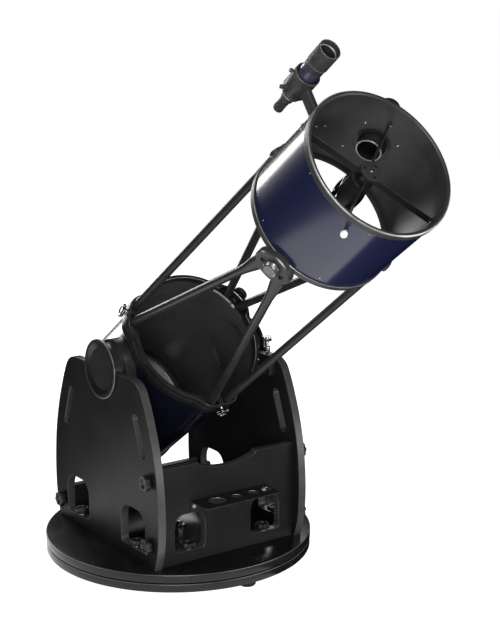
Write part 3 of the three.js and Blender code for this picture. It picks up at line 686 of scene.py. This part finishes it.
def liner_outline():
    """The slippery strip that lines the notch under the drum."""
    steps = [math.radians(-165 + 150 * k / 48) for k in range(49)]
    outer = [(78.2 * math.cos(a), AXIS_HEIGHT + 78.2 * math.sin(a)) for a in steps]
    inner = [(74.5 * math.cos(a), AXIS_HEIGHT + 74.5 * math.sin(a)) for a in reversed(steps)]
    return outer + inner


PANEL_MIDDLE, PANEL_OUTER = 252, 265
SIDE_WINDOW, FRONT_WINDOW = 168, 135
SIDE_SILL, FRONT_SILL = 92, 89
SIDE_KNOB = 25
SIDE_KNOBS = {"front_upper": (-266, 320), "front_lower": (-266, 127), "rear": (262, 120)}  # (y, z)
side_holes = [arch(side * SIDE_WINDOW, 69, SIDE_SILL, 214, 24) for side in (1, -1)]
side_holes += [slot_hole(1), slot_hole(-1)]
for name, side, turn in (("left", -1, OUT_LEFT), ("right", 1, OUT_RIGHT)):
    upright = at(side * PANEL_MIDDLE, 0, 0, UPRIGHT_ACROSS)
    panel = moved(board(side_outline(), side_holes, PANEL_THICK), upright)
    stands_for(f"{name}_side_panel", panel, LAMINATE, EDGE_BAND)
    liner = moved(board(liner_outline(), [], 24, 0.3), upright)
    stands_for(f"{name}_bearing_liner", liner, LINER, LINER)
    for place, (y, z) in SIDE_KNOBS.items():
        knob = moved(lobed_knob(SIDE_KNOB, 22, 58), at(side * (PANEL_OUTER + 0.4), y, z, turn))
        stands_for(f"{name}_{place}_knob", knob, BLACK_PLASTIC, STEEL)

FRONT_MIDDLE, REAR_MIDDLE = -266, 262
HALF_INSIDE = 238.7
front_half = [(HALF_INSIDE, PANEL_LOW), (HALF_INSIDE, 352), (104, 352), (99, 345)]
front_dip = bezier((99, 345), (0, 307), (-99, 345), steps=24)
front_outline = front_half + front_dip + [(-x, z) for x, z in reversed(front_half[:-1])]
front_holes = [arch(side * FRONT_WINDOW, 53, FRONT_SILL, 203, 20) for side in (1, -1)]
front = moved(board(front_outline, front_holes, PANEL_THICK), at(0, FRONT_MIDDLE, 0, OUT_FRONT))
stands_for("front_panel", front, LAMINATE, EDGE_BAND)
rear_outline = [(-HALF_INSIDE, PANEL_LOW), (HALF_INSIDE, PANEL_LOW), (HALF_INSIDE, 160), (-HALF_INSIDE, 160)]
rear = moved(board(rear_outline, [], PANEL_THICK), at(0, REAR_MIDDLE, 0, OUT_FRONT))
stands_for("rear_panel", rear, LAMINATE, EDGE_BAND)

# Six more knobs stand in the windows of the panels and hold them down to the turntable.
sill_places = [
    (x, y, SIDE_SILL) for x in (-PANEL_MIDDLE, PANEL_MIDDLE) for y in (-SIDE_WINDOW, SIDE_WINDOW)]
sill_places += [(x, FRONT_MIDDLE, FRONT_SILL) for x in (-FRONT_WINDOW, FRONT_WINDOW)]
washer = ring(SCREW_RADIUS, 12, 0, 2, 0.4, 40, mat=1)
screw = disc(SCREW_RADIUS, 0, 6, 0.3, 24, mat=1)
sill_knob = together(moved(lobed_knob(23, 19, 8), at(0, 0, 3)), washer, screw)
for number, (x, y, z) in enumerate(sill_places, 1):
    standing = moved(sill_knob, at(x, y, z + 0.1))
    piece(f"sill_knob_{number}", standing, (BLACK_PLASTIC, STEEL), body="rocker")

# Eyepiece rack: a bent plate with holes, held by two screws; the thin bright steel rings round the holes are
# painted glints.
RACK_TOP, RACK_BACK, RACK_FRONT, RACK_HALF = 240, -279.3, -367, 134
RACK_PLATE, RACK_CHAMFER = 3, 10
HOLE_LINE = -320
RACK_HOLES = ((-66, 26), (3, 16.2), (62, 16.2), (110, 16.2))  # (x, radius)
rack_outline = [
    (-RACK_HALF, RACK_FRONT + RACK_CHAMFER), (-RACK_HALF + RACK_CHAMFER, RACK_FRONT),
    (RACK_HALF - RACK_CHAMFER, RACK_FRONT), (RACK_HALF, RACK_FRONT + RACK_CHAMFER),
    (RACK_HALF, RACK_BACK), (-RACK_HALF, RACK_BACK),
]
rack_holes = [oval(radius, radius, 48, (x, HOLE_LINE)) for x, radius in RACK_HOLES]
shelf = moved(board(rack_outline, rack_holes, RACK_PLATE, 0.5), at(0, 0, RACK_TOP - RACK_PLATE / 2))
shelf = recoloured(shelf, 0, lambda c: True)
flange = block(
    (-RACK_HALF, RACK_HALF), (RACK_BACK - RACK_PLATE, RACK_BACK), (RACK_TOP - 30, RACK_TOP - 1), 0.6, 1.0)
rack = together(shelf, flange)
for x, radius in RACK_HOLES:
    hole_glint = ring(radius - 0.3, radius + 0.25, RACK_TOP - 1.2, RACK_TOP - 0.05, 0.2, 48, mat=1)
    rack = together(rack, moved(hole_glint, at(x, HOLE_LINE, 0)))
for x in (-122, 128):
    screw = moved(cross_screw(6.5, 4, mat=2), at(x, RACK_BACK - RACK_PLATE, 224, OUT_FRONT))
    rack = together(rack, screw)
stands_for("eyepiece_rack", rack, BLACK_PAINT, STEEL, STRIP_METAL)

# Altitude brake on the inside of the right panel.
BRAKE_X, BRAKE_Y = 225, -164
brake = block((213, 238.7), (-192, -118), (548, 610), 1.5, 3)
for z in (587, 564):
    brake = together(brake, moved(socket_screw(6, 3.5, mat=1), at(213, -132, z, OUT_LEFT)))
stands_for("altitude_brake_block", brake, BLACK_PAINT, STEEL)
screw_profile = eased([
    (0, 560), (5, 560), (5, 618), (10, 618), (10, 634), (7, 636), (7, 652), (0, 652)], 0.8)
brake_knob = together(turned(screw_profile, 48), knurled(15, 652, 667, 36), disc(11, 666, 668, 0.8))
stands_for("altitude_brake_knob", moved(brake_knob, at(BRAKE_X, BRAKE_Y, 0)), STEEL)

# ---- lower tube -------------------------------------------------------------------------------
WALL_OUT, WALL_IN = 203, 202


def tube_shell(low, high):
    """The tube's thin wall, with material 1 inside."""
    corners = [(WALL_IN, low), (WALL_OUT, low), (WALL_OUT, high), (WALL_IN, high)]
    shape = turned(corners, 192, closed=True)
    return recoloured(shape, 1, lambda c: from_axis(c) < (WALL_IN + WALL_OUT) / 2)


def in_tube(shape):
    """Places a shape that is modelled along the tube's axis."""
    return moved(shape, TUBE)


# The lower tube takes the darker navy outside and the lighter lining inside: painted shade and painted
# light.
stands_for("lower_tube", in_tube(tube_shell(-428, 122)), SHADED_NAVY, LIT_LOWER_INSIDE)

# Each altitude bearing is a drum with a shallow dish, whose foot fits the tube's curve.
cup_profile = [(r, 182) for r in (0, 17, 34, 51, 68, 85)] + eased([
    (85, 188), (85, 229.6), (76, 230), (73.4, 231), (73.4, 234), (74, 236), (74, 265), (90, 266), (90, 271),
    (88.6, 273), (80, 273), (64, 266), (0, 266)], 0.9)
for name, angle in (("left", 180), ("right", 0)):
    cup = on_wall(turned(cup_profile, 160), WALL_OUT + 0.3, 186)
    cup = recoloured(cup, 2, lambda c: 266.2 < c.z < 272.9 and 64.5 < from_axis(c) < 80)
    # A thin ring of bright metal on the dish's rim is a painted highlight.
    cup = together(cup, ring(88.4, 90.1, 270.4, 272.4, 0.4, 160, mat=1))
    stands_for(f"{name}_altitude_bearing", moved(cup, facing(angle, 0)), DRUM_BLACK, BRIGHT_METAL_AND_HIGHLIGHT, CONE_GREY)

CLAMPS, CONNECTORS = (30, 150, 270), (90, 210, 330)
CLAMP_ALONG = 135


def near_clamp(angle, half_span, shoulder):
    """A smooth bump of 0 to 1 round each clamp."""
    best = 0
    for clamp in CLAMPS:
        away = abs((math.degrees(angle) - clamp + 540) % 360 - 180)
        ramp = max(0, min(1, (half_span - away) / shoulder))
        best = max(best, ramp * ramp * (3 - 2 * ramp))
    return best


def ear(angle):
    """The ring's outside swells 21 mm at each clamp."""
    return 1 + 21 / 207 * near_clamp(angle, 24, 16)


def pocket(angle):
    """The ring's inside steps back 25 mm at each clamp."""
    return 1 + 25 / 197 * near_clamp(angle, 18, 6)


ring_profile = [
    (203.8, 100), (206, 100, ear), (207, 101, ear), (207, 124, ear), (206.2, 125, ear), (206.2, 127, ear),
    (207, 128, ear), (207, 147.2, ear), (206, 149, ear), (198.4, 149, pocket), (197, 147.6, pocket),
    (197, 122.4, pocket), (203.8, 122.4),
]
lower_ring = turned(ring_profile, 360, closed=True)
# The inner edge of the ring's front face takes the bright metal: a painted highlight.
lower_ring = recoloured(
    lower_ring, 1, lambda c: c.z > 147.4 and from_axis(c) < 199 * pocket(math.atan2(c.y, c.x)))
for clamp in CLAMPS:
    lug = moved(block((-8, 8), (-13, 13), (199, 223), 1, 2), TUBE.inverted() @ facing(clamp, CLAMP_ALONG))
    lower_ring = together(lower_ring, lug)
stands_for("lower_tube_ring", in_tube(lower_ring), BLACK_PAINT, BRIGHT_METAL_AND_HIGHLIGHT)

# The first clamp has a knurled wheel, and the others have lobed steel knobs.
for number, clamp in enumerate(CLAMPS, 1):
    stem = together(disc(5, 207, 232, 0.5, 32), disc(9, 229, 238, 1, 40))
    if number == 1:
        head = together(knurled(23.4, 235, 242, 44), disc(15, 241, 244.5, 0.6), knurled(22, 244, 251, 40))
        look = (BLACK_PLASTIC,)
    else:
        head = together(
            moved(lobed_knob(23, 14.5, 2, 6), at(0, 0, 236)),
            disc(11, 244, 248, 0.8, 40),
            disc(10, 222, 237, 1, 40),
        )
        look = (CLAMP_STEEL, CLAMP_STEEL)
    stands_for(f"lower_clamp_knob_{number}", moved(together(stem, head), facing(clamp, CLAMP_ALONG)), *look)


def along_arc(inner, outer, low, high, start, end):
    """A strip that runs round the tube's axis between two angles, in degrees."""
    steps = 40
    points, faces = [], []
    for k in range(steps + 1):
        a = math.radians(start + (end - start) * k / steps)
        for r, z in ((inner, low), (outer, low), (outer, high), (inner, high)):
            points.append(Vector((r * math.cos(a), r * math.sin(a), z)))
    for k in range(steps):
        for j in range(4):
            n = (j + 1) % 4
            faces.append([4 * k + j, 4 * k + n, 4 * k + 4 + n, 4 * k + 4 + j])
    faces += [[0, 1, 2, 3], [4 * steps + j for j in range(4)]]
    return points, faces, [0] * len(faces)


# A bright strip inside the lower ring, held by a tab with a screw.
strip = together(along_arc(195.8, 196.8, 124, 133, 30, 50), along_arc(200.2, 201.6, 106, 113, 59, 63))
tab = block((-7, 7), (-5, 5), (193, 196.8), 0.5, 1)
tab = together(tab, moved(cross_screw(3.4, 2), at(0, 0, 193, UPSIDE_DOWN)))
strip = together(in_tube(strip), moved(tab, facing(27, 128)))
piece("inner_joint_strip", strip, (STRIP_METAL,), body="tube_assembly")

# ---- mirror and its cell ----------------------------------------------------------------------
REAR = -428
COLLIMATION_CIRCLE = 130
cell = turned(eased([
    (188, REAR - 9), (207, REAR - 9), (207, REAR + 16), (203.4, REAR + 16), (203.4, REAR - 0.4),
    (188, REAR - 0.4)], 1.2, closed=True), 192, closed=True)
cell = together(cell, disc(62, REAR - 9, REAR - 0.4, 1.5, 96), ring(179, 199.5, -345, -341, 0.6))
for angle in CONNECTORS:
    arm = together(
        block((50, 192), (-17, 17), (REAR - 9, REAR - 0.4), 1.5, 3),
        moved(disc(16, REAR - 5, -395.4, 1, 48), at(COLLIMATION_CIRCLE, 0, 0)),
        block((180, 192), (-9, 9), (REAR - 5, -342), 1, 2),
        block((171, 190), (-9, 9), (-349.6, -344), 1, 2),
        moved(ring(4.3, 9, REAR - 10.8, REAR - 9, 0.3, 32, mat=1), at(COLLIMATION_CIRCLE, 0, 0)),
    )
    cell = together(cell, moved(arm, spun(angle)))
stands_for("mirror_cell", in_tube(cell), BLACK_PAINT, STEEL)
bowl = [(r, -354.8 + 4.8 * (r / 178) ** 2) for r in (174, 150, 120, 90, 60, 30, 0)]
glass = [(0, -395), (176, -395), (178, -393), (178, -352), (176.5, -350)] + bowl
stands_for("primary_mirror", in_tube(turned(glass, 160)), MIRROR)
for number, angle in enumerate(CONNECTORS, 1):
    knob = moved(lobed_knob(17, 16.5, 22, 6), UPSIDE_DOWN)
    where = spun(angle) @ at(COLLIMATION_CIRCLE, 0, REAR - 11.2)
    stands_for(f"collimation_knob_{number}", in_tube(moved(knob, where)), BLACK_PLASTIC, STEEL)

# ---- truss ------------------------------------------------------------------------------------
CONNECTOR_ALONG = 857
POLE, FLARE, FLARE_LENGTH = 12.5, 20, 95
FLARE_STEPS = 8


def pole_along_z(length):
    """A round pole whose upper end widens and flattens."""
    flare_start = length - FLARE_LENGTH
    profile = [(0, 0), (POLE - 2, 0), (POLE, 2), (POLE, flare_start)]
    for k in range(1, FLARE_STEPS + 1):
        share = k / FLARE_STEPS
        swell = share * share * (3 - 2 * share)
        profile.append((POLE + (FLARE - POLE) * swell, flare_start + FLARE_LENGTH * share))
    profile.append((0, length))

    def flattened(p):
        share = max(0, min(1, (p.z - flare_start) / FLARE_LENGTH))
        thin = (POLE - 3.5 * share) / max(POLE, from_axis(p))
        return (p.x, p.y * thin, p.z)

    return reshaped(turned(profile, 48), flattened)


pole_ends = [(clamp, side) for clamp in CLAMPS for side in (-1, 1)]
for number, (clamp, side) in enumerate(pole_ends, 1):
    connector = (clamp + side * 60) % 360
    foot = spot(130, 208, clamp, side * 25)
    head = spot(830, 212, connector, -side * 34)
    axis = (head - foot).normalized()
    across = spot(0, 1, connector).cross(axis).normalized()
    pole = moved(pole_along_z((head - foot).length), basis(across, axis.cross(across), axis, foot))
    stands_for(f"truss_pole_{number}", in_tube(pole), ANODISED)

PLATE_X, PLATE_Y = 56, 40
PLATE_SCREWS = (-32, 32)


def on_plate_rim(c):
    return 218.5 < c.z < 221.9 and (c.x / PLATE_X) ** 2 + (c.y / PLATE_Y) ** 2 > 0.84


for number, angle in enumerate(CONNECTORS, 1):
    plate = on_wall(slab(oval(PLATE_X, PLATE_Y), 199, 219, 0.8), 206, 199.1)
    plate = together(plate, recoloured(slab(oval(PLATE_X, PLATE_Y), 216, 222, 3.6), 2, on_plate_rim))
    for x in PLATE_SCREWS:
        plate = together(plate, moved(socket_screw(6.5, 4, mat=1), at(x, 2, 222)))
    place = facing(angle, CONNECTOR_ALONG)
    stands_for(f"truss_connector_{number}", moved(plate, place), CASTING, SOCKET_BLACK, PLATE_BEVEL_HIGHLIGHT)
    cap = turned(eased([
        (0, 206), (6, 206), (6, 222.4), (23, 222.4), (24, 224), (24, 228), (19, 235.6), (15.6, 237),
        (14, 236.4), (0, 236.8)], 0.6), 96)
    cap = recoloured(cap, 1, lambda c: c.z > 236 and from_axis(c) < 15.5)
    stands_for(f"truss_knob_{number}", moved(cap, place), CAP_CHROME, CAP_STEEL)

# ---- upper tube -------------------------------------------------------------------------------
FOCUSER_ANGLE, SIDEWAYS_ALONG = 43.6, 1010
focuser_place = facing(FOCUSER_ANGLE, SIDEWAYS_ALONG)
upper = in_tube(tube_shell(880, 1165))
hole = moved(disc(53, 150, 230, 0.2, 64), focuser_place)
stands_for("upper_tube", carved(upper, hole), NAVY, TUBE_BLACK)

front_band = [
    (203.3, 1149), (206, 1149), (207, 1150), (207, 1166.4), (205.2, 1168), (203.6, 1169), (199, 1169),
    (195.5, 1166), (195.5, 1126), (196.5, 1125), (201, 1125), (201, 1165.3), (203.3, 1165.3),
]
front_ring = turned(front_band, 192, closed=True)
# The front outer corner takes the bright metal: a painted highlight.
front_ring = recoloured(front_ring, 1, lambda c: c.z > 1166.8 and from_axis(c) > 203.5)
stands_for("upper_front_ring", in_tube(front_ring), CASTING, BRIGHT_METAL_AND_HIGHLIGHT)
rear_band = [
    (189, 876.4), (190, 876), (206, 876), (207, 877), (207, 891.8), (206, 893), (203.3, 893), (203.3, 879.7),
    (189, 879.7),
]
rear_ring = turned(rear_band, 192, closed=True)
# The outer corner at the ring's front end takes the bright metal: a painted highlight.
rear_ring = recoloured(rear_ring, 1, lambda c: c.z > 892 and from_axis(c) > 205)
stands_for("upper_rear_ring", in_tube(rear_ring), CASTING, BRIGHT_METAL_AND_HIGHLIGHT)

band_screws = [
    moved(cross_screw(3, 1.8), facing(60 * k, along) @ at(0, 0, WALL_OUT))
    for along in (1142, 908) for k in range(6)
]
piece("tube_band_screws", together(*band_screws), (STEEL,), body="tube_assembly")

# Spider, secondary mirror and its holder.
VANES = (45, 135, 225, 315)
hub = together(
    turned(eased([(0, 1084), (22, 1084), (22, 1117), (29.5, 1117), (29.5, 1125), (0, 1125)], 1.0), 72),
    disc(5, 1078, 1090, 0.4, 24),
    moved(cross_screw(4.5, 3, mat=1), at(0, 0, 1125)),
)
for angle in (30, 150, 270):
    screw = moved(socket_screw(4.4, 1.6, mat=2), Matrix.Translation(spot(1125, 20, angle)))
    hub = together(hub, screw)
# The hub's front face takes the lighter casting grey: painted light on the face where the lamps fall.
hub = recoloured(hub, 3, lambda c: 1124 < c.z < 1125.05 and from_axis(c) > 6)
end_screws = []
for angle in VANES:
    vane = together(
        block((12, 200), (-0.8, 0.8), (1090, 1112), 0.3, 0.5),
        block((195, 201), (-4, 4), (1094, 1108), 0.6, 1),
    )
    hub = together(hub, moved(vane, spun(angle)))
    vane_end = facing(angle, 1101)
    end_screws.append(moved(cross_screw(5, 3), vane_end @ at(0, 0, WALL_OUT)))
    end_screws.append(moved(cross_screw(3.6, 3), vane_end @ at(5, 0, 200.5, UPSIDE_DOWN)))
stands_for("secondary_spider", in_tube(hub), ANODISED, STEEL, SOCKET_BLACK, CASTING)
piece("spider_end_screws", together(*end_screws), (STEEL,), body="tube_assembly")


def tilted_slab(low, high):
    """A slab parallel to the secondary mirror, which sends light out to the focuser."""
    towards_light = (spot(0, 1, FOCUSER_ANGLE) - Vector((0, 0, 1))).normalized()
    corners = rounded_box(300, 300, 2)
    return moved(slab(corners, low, high, 0.2), at(0, 0, SIDEWAYS_ALONG, pointing(towards_light)))


holder = carved(disc(30.5, 955, 1083.6, 1.5, 72), tilted_slab(-140, -9.9), "INTERSECT")
stands_for("secondary_holder", in_tube(holder), ANODISED)
flat_mirror = carved(disc(38, 950, 1077, 0.2, 96), tilted_slab(-10, 0), "INTERSECT")
stands_for("secondary_mirror", in_tube(flat_mirror), MIRROR)

# ---- focuser ----------------------------------------------------------------------------------
AXLE_ASIDE, AXLE_HEIGHT = 40.3, 240
saddle = on_wall(slab(dense(rounded_box(132, 132, 16)), 180, 217, 2), WALL_OUT + 0.3, 183)
saddle = carved(saddle, disc(40, 150, 218.5, 0.2))
neck = turned(eased([
    (0, 214), (58, 214), (54, 222), (52, 230), (52, 252), (48, 254), (48, 258), (52, 260), (52, 268),
    (0, 268)], 1.4), 96)
focuser = carved(together(saddle, neck), disc(36.4, 150, 300, 0.2, 96))
for x in (-54, 54):
    for y in (-54, 54):
        focuser = together(focuser, moved(socket_screw(5, 4, mat=1), at(x, y, 216.8)))
stands_for("focuser_body", moved(focuser, focuser_place), ANODISED, STEEL)

draw_profile = [
    (31.4, 172.6), (33, 172), (35, 172), (36, 173), (36, 333), (34, 335.5), (28, 338), (28, 344), (27, 345),
    (27, 348), (28, 349), (28, 361.8), (26.8, 363), (26, 363), (25.6, 362), (25.6, 336), (31.4, 332),
]
# The drawtube's inner end face takes the bright metal: a painted highlight.
drawtube = recoloured(turned(draw_profile, 96, closed=True), 2, lambda c: c.z < 172.8)
for turn in (0.4, 2.5):
    thumb = together(disc(2.5, 25.7, 33, 0.3, 20, mat=1), knurled(4.5, 31.5, 39, 20, mat=1, ease=0.8))
    side = Matrix.Rotation(turn, 4, "Z") @ UPRIGHT_ACROSS
    drawtube = together(drawtube, moved(thumb, at(0, 0, 354.5, side)))
stands_for("focuser_drawtube", moved(drawtube, focuser_place), ANODISED, STEEL, BRIGHT_METAL_AND_HIGHLIGHT)

wheels = disc(4, -90, 90, 0.5, 32, mat=1)
for side in (-1, 1):
    wheel = knurled(22, *sorted((side * 72, side * 92)), 48)
    wheels = together(wheels, wheel, disc(13, *sorted((side * 91, side * 92)), 0.3, mat=1))
turn_across = Matrix.Rotation(math.pi / 2, 4, "Y")
wheels = moved(wheels, focuser_place @ at(0, AXLE_ASIDE, AXLE_HEIGHT, turn_across))
stands_for("focuser_knobs", wheels, BLACK_PLASTIC, STEEL)

inner_screws = [
    moved(cross_screw(3.6, 2.2), facing(angle, along) @ at(0, 0, WALL_IN - 0.2, UPSIDE_DOWN))
    for angle, along in ((59, 1063), (59, 949), (29, 1063), (29, 949), (85, 1010), (93, 1010))
]
piece("inner_wall_screws", together(*inner_screws), (STEEL,), body="tube_assembly")

guide = turned(eased([
    (0, 203.3), (5, 203.3), (4.5, 214), (7, 215.5), (8.8, 219), (8.8, 226), (6, 230.5), (0, 232)], 1.4), 56)
guide = recoloured(guide, 1, lambda c: c.z < 213)
stands_for("guide_knob", moved(guide, facing(225.4, 1119.5)), WHITE_PLASTIC, STEEL)

# ---- finder -----------------------------------------------------------------------------------
FINDER_HEIGHT = 336
on_top = facing(90, SIDEWAYS_ALONG)
shoe = on_wall(block((-20, 20), (-32, 32), (190, 222), 1, 2), WALL_OUT + 0.3, 192)
shoe = carved(shoe, block((-10.4, 10.4), (-40, 40), (210, 230), 0.1, 0.2))
for y in (-20, 20):
    thumb = together(disc(3, -4, 8, 0.3, 20), knurled(7, 6, 18, 24))
    shoe = together(shoe, moved(thumb, at(-20, y, 216, OUT_LEFT)))
stands_for("finder_shoe", moved(shoe, on_top), STRIP_METAL)

collar_profile = eased([(27, -36), (36, -36), (36, 36), (31, 36), (31, 20), (27, 18)], 0.8, closed=True)
collar = turned(collar_profile, 96, closed=True)
# The outer rims of the collar's ends take the bright metal: painted highlights.
collar = recoloured(collar, 2, lambda c: abs(c.z) > 35.1 and 34.6 < from_axis(c) < 36)
collar = moved(collar, at(0, 0, FINDER_HEIGHT, OUT_FRONT))
bracket = together(
    block((-10, 10), (-30, 30), (210.5, 226), 1, 1.5),
    block((-8, 8), (-18, 18), (224, FINDER_HEIGHT - 32), 1.5, 4),
    collar,
)
THUMB_SCREWS = ((-27, 156), (27, 174), (11, 186), (30, 230))  # (y, angle round the collar)
for y, angle in THUMB_SCREWS:
    a = math.radians(angle)
    thumb = together(
        disc(2.4, 26, 44, 0.3, 20, mat=1), disc(5.2, 35.6, 38.5, 0.8, 6), knurled(6, 41, 50, 22, ease=1.2))
    outwards = pointing(Vector((math.cos(a), 0, math.sin(a))))
    bracket = together(bracket, moved(thumb, at(0, y, FINDER_HEIGHT, outwards)))
stands_for("finder_bracket", moved(bracket, on_top), BRACKET_BLACK, STEEL, BRIGHT_METAL_AND_HIGHLIGHT)

barrel = turned(eased([
    (13, 932), (18, 932), (18, 948), (26.5, 962), (26.5, 1030), (28.6, 1034), (28.6, 1075.6), (28.6, 1076.4),
    (28.6, 1090), (30.5, 1094), (30.5, 1097), (29.9, 1098), (29.9, 1100), (30.5, 1101), (30.5, 1157),
    (29.6, 1158), (28.4, 1158), (28, 1156), (28, 1141), (24.4, 1140), (24, 1138), (24, 975), (13, 955),
], 0.4, closed=True), 96, closed=True)
barrel = recoloured(barrel, 1, lambda c: 1032 < c.z < 1076 and from_axis(c) > 25)
# The step inside the dew shield, its front rim and the groove behind the lens take the bright metal: painted
# highlights.
barrel = recoloured(barrel, 3, lambda c: 1139.5 < c.z < 1141.5 and from_axis(c) < 27)
barrel = recoloured(
    barrel, 3, lambda c: (c.z > 1157.5 or 1097.6 < c.z < 1098.4) and from_axis(c) > 28.6)
dome = [(r, 1106 + 3 * (1 - (r / 24) ** 2)) for r in (23.6, 19, 13, 7, 0)]
lens = turned([(0, 1101), (23.6, 1101)] + dome, 72, mat=2)
clasp = ring(20, 27.5, 955, 960, 0.8, 72, mat=3)
finder = moved(together(barrel, lens, clasp), at(0, FINDER_HEIGHT, 0))
stands_for("finder_tube", in_tube(finder), FINDER_BLACK, FINDER_BLUE, LENS, BRIGHT_METAL_AND_HIGHLIGHT)
grip = lobes(18, 0.09)
eyepiece = turned([
    (0, 884), (9, 884.5), (11, 882), (13.5, 882), (14.5, 884), (14.5, 892), (13.8, 893), (14.2, 895, grip),
    (14.2, 915, grip), (13.8, 917), (14.5, 918), (14.5, 927), (12.6, 930), (12.6, 946), (0, 946)], 160)
stands_for("finder_eyepiece", in_tube(moved(eyepiece, at(0, FINDER_HEIGHT, 0))), FINDER_BLACK)


# ---- floor, light and camera, in metres ---------------------------------------------------------
FLOOR_HEIGHT = -0.018
FLOOR_RIM = 96
NEAR_FLOOR = Matrix.Translation((-0.75, 0.05, 0)) @ spun(37)


def make_floor():
    """A white floor that lights itself. Only an oval near the telescope is mirrored in its gloss."""
    paper = finish("pale_floor", grey(0.8), 0.9, mottle=(0.4, 0.01), grain=(200, 0.01), specular=0.0)
    shader = paper.node_tree.nodes["Principled BSDF"]
    shader.inputs["Emission Color"].default_value = (1, 1, 1, 1)
    shader.inputs["Emission Strength"].default_value = 1.0
    for name, half_width, half_length, z, place in (
        ("floor", 3000, 3000, FLOOR_HEIGHT, Matrix.Identity(4)),
        ("floor_near", 0.58, 1.25, FLOOR_HEIGHT + 0.0001, NEAR_FLOOR),
    ):
        edge = [place @ Vector((x, y, z)) for x, y in oval(half_width, half_length, FLOOR_RIM)]
        mesh = bpy.data.meshes.new(name)
        mesh.from_pydata(edge, [], [list(range(FLOOR_RIM))])
        mesh.materials.append(paper)
        floor = bpy.data.objects.new(name, mesh)
        floor.visible_glossy = name == "floor_near"
        bpy.context.scene.collection.objects.link(floor)


def add_light(name, place, target, size, power):
    """A soft box that lights the telescope but isn't seen by the camera."""
    light = bpy.data.lights.new(name, "AREA")
    light.shape = "RECTANGLE"
    light.size, light.size_y = size
    light.energy = power
    made = bpy.data.objects.new(name, light)
    made.location = place
    made.rotation_euler = (Vector(target) - Vector(place)).to_track_quat("-Z", "Y").to_euler()
    made.visible_camera = False
    bpy.context.scene.collection.objects.link(made)


def make_studio():
    """A white backdrop all round, which the telescope's gloss doesn't mirror."""
    world = bpy.data.worlds.new("studio")
    world.use_nodes = True
    shader = world.node_tree.nodes["Background"]
    shader.inputs["Color"].default_value = (1, 1, 1, 1)
    shader.inputs["Strength"].default_value = 1.0
    seen_by = world.cycles_visibility
    seen_by.glossy = False
    seen_by.diffuse = False
    bpy.context.scene.world = world
    bpy.context.scene.view_settings.view_transform = "Standard"


# Place, target, width and height, and power in watts.
LIGHTS = {
    "key": ((-1.0, -3.4, 3.4), (0, -0.4, 0.8), (1.6, 1.2), 70),
    "fill": ((-2.2, -3.6, 0.9), (0, -0.4, 0.9), (1.4, 1.4), 60),
    "low": ((2.0, -3.2, 0.4), (0, -0.3, 0.25), (2.0, 0.8), 34),
    "side": ((-3.4, 0.6, 3.2), (0, -0.3, 0.9), (1.4, 1.4), 45),
    "rim": ((2.2, 2.6, 2.6), (0, -0.2, 1.0), (1.6, 1.6), 35),
    "sky": ((0.1, 4.8, 1.8), (0, -0.4, 1.0), (1.4, 2.8), 85),
}
make_floor()
make_studio()
for name, settings in LIGHTS.items():
    add_light(name, *settings)

camera_data = bpy.data.cameras.new("camera")
camera_data.sensor_width = 36
camera_data.lens = 80.31
camera_data.clip_end = 10000
camera = bpy.data.objects.new("camera", camera_data)
camera.location = (-2.2576, -3.5973, 1.653)
camera.rotation_euler = (math.radians(77.64), 0, math.radians(-35.16))
bpy.context.scene.collection.objects.link(camera)
bpy.context.scene.camera = camera
